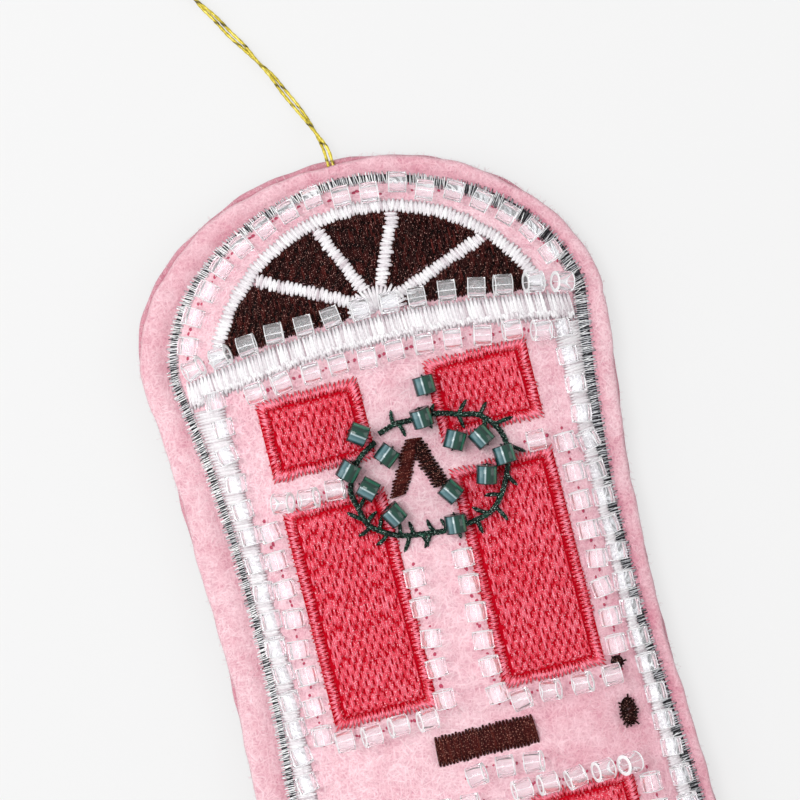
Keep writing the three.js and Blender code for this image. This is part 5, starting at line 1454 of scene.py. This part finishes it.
# Beads along a row, and the thread that runs through each and down between them
def addBeadRow(node, places):
    frames, threads, holes = [], [], []
    for x, y, angle, pitch in places:
        x += rng.normal(0, bead["placeSpread"])
        y += rng.normal(0, bead["placeSpread"])
        angle += rng.normal(0, bead["tiltSpread"])
        pitch += rng.normal(0, bead["pitchSpread"])
        turn = beadFrame(x, y, angle, bead["lift"], rng.uniform(0, 6.28), pitch)
        frames.append(turn)
        centre, axis = centreAndAxis(turn)
        back, front = centre - axis * bead["length"] / 2, centre + axis * bead["length"] / 2
        down = []
        for end, way in ((back, -1), (front, 1)):
            hole = end[:2] + axis[:2] * way * rng.uniform(*bead["holeReach"])
            holes.append(end[:2] + axis[:2] * way * bead["holeBeside"])
            down.append(np.array([*hole, float(feltTop(*hole)) - 0.25]))
        line, _ = smoothRoute([down[0], back, centre, front, down[1]], 0.3)
        threads.append(sweepThread("beadThread", line, bead["thread"], whiteThread, sides=6, twistPitch=0.7,
                                   ply=0.2, shade=0.7))
    replaceNodes(placeCopies(node + "_glass", clearBead, frames, clearGlass), "door", "clear_glass", node)
    addCutEnds(node, cutEnd, frames, bead["length"] / 2 - bead["cut"] * 0.4, rimHighlightGlass, "clear_glass")
    replaceNodes(joinPieces(node + "_thread", threads), "door", "white_thread")
    return holes


# Places on a line of beads are x, y, the way it runs and a tilt
def spacedShares(length, pitch):
    gaps = max(1, int(math.floor(length / pitch + 0.5)))
    return np.arange(gaps + 1) / gaps


def columnOf(x, fromHeight, toHeight, pitch=bead["pitch"]):
    shares = spacedShares(abs(toHeight - fromHeight), pitch)
    way = math.copysign(math.pi / 2, toHeight - fromHeight)
    return [(x, layoutY(fromHeight + (toHeight - fromHeight) * share), way, 0) for share in shares]


def rowOf(fromX, toX, height, tilt=0.0):
    shares = spacedShares(abs(toX - fromX), bead["pitch"])
    way = 0.0 if toX > fromX else math.pi
    tilts = [tilt * rng.uniform(0.6, 1.2) for _ in shares]
    return [(fromX + (toX - fromX) * share, layoutY(height), way, t) for share, t in zip(shares, tilts)]


def innerColumnX(side):
    return shift + side * (layout["stile"] / 2 - bead["innerOffset"])


# Down a panel's inner side, along its foot and up its outer side
def panelRow(side, innerTop, innerFoot, outerTop, outerFoot, rowHeight, rowEnd):
    innerX = innerColumnX(side)
    outerX = shift + side * (panelOuter + bead["outerOffset"])
    rowStart = innerX + side * (bead["diameter"] / 2 + bead["clearance"] + bead["length"] / 2)
    return [*columnOf(innerX, innerTop, innerFoot), *rowOf(rowStart, outerX - side * rowEnd, rowHeight, 0.35),
            *columnOf(outerX, outerFoot, outerTop)]


# The arch of beads inside the seam, with dips where beads have sunk towards it
def archPlaces(rowEnd, upperHeight):
    inset, aside = bead["archInset"], bead["archShift"]
    line = {**seamLine, "top": seamTop - inset, "halves": (seamShoulder - inset - aside,),
            "middles": (layout["seamShoulderShift"] + aside,)}
    arch = archPoints(line, 900)
    arch[:, 1] = layoutY(arch[:, 1])
    gap = np.where(arch[:, 0] > 0, bead["archGapRight"], bead["archGapLeft"])
    endBead = layoutY(upperHeight) - transomDrop(shift + np.sign(arch[:, 0]) * rowEnd)
    arch = arch[arch[:, 1] > endBead + (bead["diameter"] + bead["length"]) / 2 + gap]
    travelled = travelledAlong(arch)
    places = spacedShares(travelled[-1], bead["pitch"]) * travelled[-1]
    x, y = pointsAt(places, travelled, arch).T
    across, up = (pointsAt(places + 0.2, travelled, arch) - pointsAt(places - 0.2, travelled, arch)).T
    way = np.arctan2(up, across)
    dip = sum(depth * np.exp(-((x - place) / bead["dipWidth"]) ** 2) for place, depth in bead["archDips"])
    return list(zip(x - np.sin(way) * dip, y + np.cos(way) * dip, way, np.zeros(len(x))))


# A row that sags with the transom
def hung(row):
    slope = lambda x: -2 * layout["transomSag"] * (x - layout["transomShift"]) / seamShoulder ** 2
    return [(x, y - transomDrop(x), math.atan(slope(x)), tilt) for x, y, _, tilt in row]


def addAllBeads():
    diameter, length, clear, pitch = (bead[key] for key in ("diameter", "length", "clearance", "pitch"))
    holes = []
    rowEnd = seamShoulder - diameter + clear
    upperHeight = fanBase + diameter / 3
    holes += addBeadRow("arch_beads", archPlaces(rowEnd, upperHeight))
    holes += addBeadRow("transom_upper_beads", hung(rowOf(shift - rowEnd, shift + rowEnd, upperHeight)))
    lowerStart = shift - panelOuter + length / 4
    lowerEnd = shift + panelOuter + bead["outerOffset"] + clear
    lowerRow = rowOf(lowerStart, lowerEnd, transomBase - 0.3 - length / 4)
    holes += addBeadRow("transom_lower_beads", hung(lowerRow))
    under = transomBase - transomDrop(seamWaist)
    reach = bead["outerOffset"] + diameter + clear / 2
    for node, side, top in (("left_pilaster_beads", -1, under + clear * 4),
                            ("right_pilaster_beads", 1, under - clear * 2)):
        row = columnOf(0, top, layout["footSpace"] / 2 + length / 2, bead["pilasterPitch"])
        row = [(float(besidePanels(side, reach, y + halfLift)), y, way, 0) for _, y, way, _ in row]
        holes += addBeadRow(node, row)
    tallTop = tallBase + layout["tallPanel"]
    innerTop = tallTop - bead["wreathRoom"]
    rowHeight = tallBase - diameter / 2 + clear
    holes += addBeadRow("tall_left_beads", panelRow(-1, innerTop - length / 2, tallBase + length / 2,
                                                    tallTop - length, tallBase + clear, rowHeight, diameter))
    holes += addBeadRow("tall_right_beads", panelRow(1, innerTop, tallBase + clear, tallTop - clear,
                                                     tallBase + length, rowHeight, diameter / 2 + clear))
    bottomTop = bottomBase + layout["bottomPanel"]
    for node, side in (("bottom_left_beads", -1), ("bottom_right_beads", 1)):
        head = rowOf(shift + side * (panelOuter - clear), innerColumnX(side), bottomTop + diameter / 3, 0.3)
        rest = panelRow(side, bottomTop - length - clear, bottomBase + clear, bottomTop - length,
                        bottomBase + clear, bottomBase - diameter / 2 + clear, diameter)
        holes += addBeadRow(node, [*head, *rest])
    railHeight = tallTop + layout["lockRail"] / 4
    railLeft = shift - panelOuter + length / 4
    holes += addBeadRow("left_rail_beads", rowOf(railLeft, railLeft + 2 * (pitch - clear), railHeight, 0.25))
    holes += addBeadRow("right_rail_bead", [(shift + panelOuter - length, layoutY(railHeight), 0, 0.2)])
    slotLeft = shift + furniture["slotShift"] - length
    slotHeight = tallBase - furniture["slotDrop"] - furniture["slot"][1] - diameter / 2 - clear
    holes += addBeadRow("mail_slot_beads", rowOf(slotLeft, slotLeft + 2 * pitch, slotHeight, 0.25))
    return holes


needleHoles = {"spread": 0.15, "size": (0.26, 0.42), "depth": 0.04, "lift": 0.005}


# Small dented holes that the needle left beside the beads, coloured darker as painted shade in the dents
def addNeedleHoles(holes):
    bm = bmesh.new()
    bmesh.ops.create_cone(bm, cap_ends=True, segments=7, radius1=1, radius2=0.5, depth=1)
    bmesh.ops.recalc_face_normals(bm, faces=bm.faces)
    template = meshFrom(bm, "holeTemplate")
    frames = []
    for x, y in holes:
        x, y = x + rng.normal(0, needleHoles["spread"]), y + rng.normal(0, needleHoles["spread"])
        size = rng.uniform(*needleHoles["size"])
        place = Matrix.Translation((x * mm, y * mm, (float(feltTop(x, y)) + needleHoles["lift"]) * mm))
        shape = Matrix.Diagonal((size * mm, size * 0.8 * mm, needleHoles["depth"] * mm, 1))
        frames.append(place @ Matrix.Rotation(rng.uniform(0, 6), 4, "Z") @ shape)
    replaceNodes(placeCopies("needleHoles", template, frames, needleHole), "door", "front_felt")


addNeedleHoles(addAllBeads())
print("clear beads ready")


# Wreath
wreath = {
    "radius": 11.5, "shift": 2.3, "vine": 0.88, "vineStep": 0.22, "vineLift": 0.38, "overSatin": 0.62,
    "barb": 0.66, "barbReach": 1.1, "barbRise": 0.3, "barbSpread": 0.12, "thread": 0.3,
    "beadDiameter": 3.0, "beadLength": 2.6, "bore": 1.3, "beadOverSatin": 0.6, "liftOnVine": 0.75,
    "liftOnFelt": 0.12, "beadTilt": 0.08, "cut": 0.15, "darkSide": (-0.97, 0.24),
}
vineShares = [  # across and up, in shares of the radius
    (-0.52, 0.63), (-0.29, 0.7), (-0.1, 0.7), (0.08, 0.72), (0.34, 0.68), (0.52, 0.62), (0.72, 0.57),
    (0.89, 0.4), (0.97, 0.23), (0.97, 0.01), (0.87, -0.28), (0.76, -0.47), (0.6, -0.63), (0.34, -0.7),
    (0.13, -0.72), (-0.05, -0.73), (-0.3, -0.7), (-0.51, -0.67), (-0.71, -0.59), (-0.92, -0.43),
    (-0.99, -0.2), (-1.03, 0.01), (-0.96, 0.21), (-0.82, 0.4), (-0.6, 0.54),
]
barbShares = [  # where on the vine, then how far across and up
    (0.04, 0.01, 0.17), (0.05, 0.05, -0.17), (0.12, 0.1, 0.1), (0.11, 0.07, -0.17), (0.19, 0.13, 0.14),
    (0.19, 0.03, -0.17), (0.24, 0.11, 0.13), (0.25, -0.01, -0.14), (0.28, 0.23, 0.03), (0.33, 0.19, -0.14),
    (0.4, 0.09, -0.15), (0.45, -0.18, 0.04), (0.48, 0.1, -0.19), (0.5, -0.17, 0.11), (0.53, 0.03, -0.17),
    (0.58, 0.02, -0.14), (0.63, -0.06, 0.17), (0.64, -0.11, -0.15), (0.68, -0.02, 0.16), (0.69, -0.1, -0.17),
    (0.74, -0.16, -0.1), (0.78, -0.16, -0.07), (0.8, -0.17, 0.13), (0.79, 0.14, 0.11), (0.6, -0.05, 0.14),
    (0.66, 0.04, -0.16), (0.71, 0.03, 0.14), (0.76, 0.06, 0.15), (0.56, 0.0, 0.14), (0.83, 0.1, 0.12),
]
wreathBeads = [  # across, up, degrees, and whether it lies on the vine
    (0.17, 1.08, 92, False), (0.04, 0.7, 95, True), (-0.77, 0.69, -35, False), (-0.49, 0.35, 40, False),
    (-0.99, 0.28, 48, True), (-0.81, 0, -42, False), (-0.58, -0.38, -60, False), (0.13, -0.67, 86, True),
    (0.17, -0.27, -55, False), (0.37, 0.33, 62, False), (0.7, 0.29, -62, False), (0.92, 0.01, 94, True),
    (0.65, -0.17, 75, False),
]
wreathCentre = np.array([shift + wreath["shift"], layoutY(tallBase + layout["tallPanel"])])


# How much of the satin's height lies under a point
def overPanels(x, y):
    cover = np.zeros(np.shape(x))
    for base, height in ((upperBase, layout["upperPanel"]), (tallBase, layout["tallPanel"])):
        low, high = layoutY(base), layoutY(base + height)
        for side in (-1, 1):
            left, right = sorted((shift + side * layout["stile"] / 2, shift + side * panelOuter))
            inset = np.minimum(np.minimum(x - left, right - x), np.minimum(y - low, high - y))
            cover = np.maximum(cover, smoothShare((inset + 0.5) / 1.0))
    return cover


# The height that the wreath lies on
def wreathRest(x, y):
    return feltTop(x, y) + wreath["overSatin"] * overPanels(x, y)


def addVine():
    step, radius = wreath["vineStep"], wreath["radius"]
    plan = wreathCentre + np.array(vineShares) * radius
    vine, _ = smoothRoute(np.column_stack([plan, np.zeros(len(plan))]), step)
    travelled = np.arange(len(vine)) * step
    dips = 0.1 * np.sin(travelled / 1.35) + 0.06 * np.sin(travelled / 0.7)
    vine[:, 2] = wreathRest(vine[:, 0], vine[:, 1]) + wreath["vineLift"] + dips
    pieces = [sweepThread("vineStem", vine, wreath["vine"], greenThread, twistPitch=1.25, ply=0.34)]
    for along, across, up in barbShares:
        start = vine[int(along * (len(vine) - 1))]
        end = start[:2] + np.array([across, up]) * radius * wreath["barbReach"]
        tip = np.array([*end, float(wreathRest(*end)) - 0.05])
        aside = [rng.normal(0, wreath["barbSpread"]), rng.normal(0, wreath["barbSpread"]), wreath["barbRise"]]
        route, _ = smoothRoute([start, (start + tip) / 2 + np.array(aside), tip], 0.2)
        pieces.append(sweepThread("barb", route, wreath["barb"], greenThread, sides=8, twistPitch=1.0,
                                  ply=0.3, point=0.8))
    replaceNodes(joinPieces("wreathVine", pieces), "door", "green_thread", "wreath_vine")


# Teal beads, each with its cut ends, a dyed lining and the thread that holds it
def addWreathBeads():
    diameter, length, bore = wreath["beadDiameter"], wreath["beadLength"], wreath["bore"]
    glass = beadTemplate("tealBead", diameter, length, bore, 22)
    proud = bead["cutProud"]
    tealCut = beadTemplate("tealCut", diameter + proud, wreath["cut"], bore - proud, 22, 0.03)
    lining = beadTemplate("tealLining", bore - 0.02, length - 0.3, bore - 0.3, 16, 0.04)
    for index, (across, up, degrees, onVine) in enumerate(wreathBeads, 1):
        x, y = wreathCentre + np.array([across, up]) * wreath["radius"]
        lift = wreath["liftOnVine"] if onVine else wreath["liftOnFelt"]
        lift += float(wreath["beadOverSatin"] * overPanels(x, y))
        turn = beadFrame(x, y, math.radians(degrees), lift, 0.0, float(rng.normal(0, wreath["beadTilt"])))
        node = f"wreath_bead_{index:02d}"
        shell = placeCopies(node + "_glass", glass, [turn], tealGlass)
        replaceNodes(shell, "door", "teal_glass", node)
        spot = readVertices(shell.data) - np.array(turn.translation)
        facing = leftOf(spokes(math.radians(degrees)))
        facing *= math.copysign(1, facing @ np.array(wreath["darkSide"]))
        # Where each vertex lies across the bead, from the lit side to the shaded side, for the painted light
        # bands
        setAttribute(shell.data, "beadSide", 0.5 - (spot[:, :2] @ facing) / (diameter * mm))
        addCutEnds(node, tealCut, [turn], length / 2 - 0.06, tealEdge, "teal_glass")
        replaceNodes(placeCopies(node + "_lining", lining, [turn], tealLining), "door", "teal_glass")
        centre, axis = centreAndAxis(turn)
        ends = [centre + axis * reach for reach in (-1.5, -1.2, 0, 1.2, 1.5)]
        for outer in (0, -1):
            ends[outer][2] = float(wreathRest(*ends[outer][:2])) - 0.1
        route, _ = smoothRoute(ends, 0.3)
        thread = sweepThread(node + "_thread", route, wreath["thread"], greenThread, sides=6, twistPitch=0.7,
                             ply=0.2, shade=0.35)
        replaceNodes(thread, "door", "green_thread")


addVine()
addWreathBeads()
print("wreath ready")


# Studio: a pale table, and three lamps by name, place, size and power
studio = {
    "floor": (0.2, 0.2, 0.2), "floorGlow": 0.665, "world": 0.56,
    "lamps": (
        ("keyLight", (-0.22, 0.16, 0.58), 0.3, 2.0),
        ("leftLight", (-0.56, 0.1, 0.3), 0.4, 1.1),
        ("rightLight", (0.56, -0.05, 0.3), 0.4, 0.8),
    ),
}


# One for rays that the lens sees, also in a mirror or through glass
def seenShare(tree):
    rays = tree.nodes.new("ShaderNodeLightPath").outputs
    seen = mathNode(tree, "MAXIMUM", rays["Is Camera Ray"], rays["Is Glossy Ray"])
    return mathNode(tree, "MAXIMUM", seen, rays["Is Transmission Ray"])


def addStudio():
    bm = bmesh.new()
    bmesh.ops.create_grid(bm, x_segments=1, y_segments=1, size=3)
    material, tree, shader = newMaterial("floorPaint", studio["floor"], 0.9)
    glow = mathNode(tree, "MULTIPLY", seenShare(tree), studio["floorGlow"])
    tree.links.new(glow, shader.inputs["Emission Strength"])
    shader.inputs["Emission Color"].default_value = (1, 1, 1, 1)
    floor = finishMesh("floor", meshFrom(bm, "floor"), material, smooth=False)
    world = bpy.data.worlds.new("studioWorld")
    bpy.context.scene.world = world
    world.use_nodes = True
    tree = world.node_tree
    background = tree.nodes["Background"]
    background.inputs["Color"].default_value = (1, 1, 1, 1)
    seen = mathNode(tree, "MULTIPLY", seenShare(tree), 1 - studio["world"])
    tree.links.new(mathNode(tree, "ADD", seen, studio["world"]), background.inputs["Strength"])
    for name, place, size, power in studio["lamps"]:
        data = bpy.data.lights.new(name, "AREA")
        data.energy = power
        data.size = size
        lamp = bpy.data.objects.new(name, data)
        lamp.location = place
        lamp.rotation_euler = (-Vector(place)).to_track_quat("-Z", "Y").to_euler()
        collection.objects.link(lamp)


addStudio()
bpy.context.scene.view_settings.view_transform = "Standard"
print("scene ready")
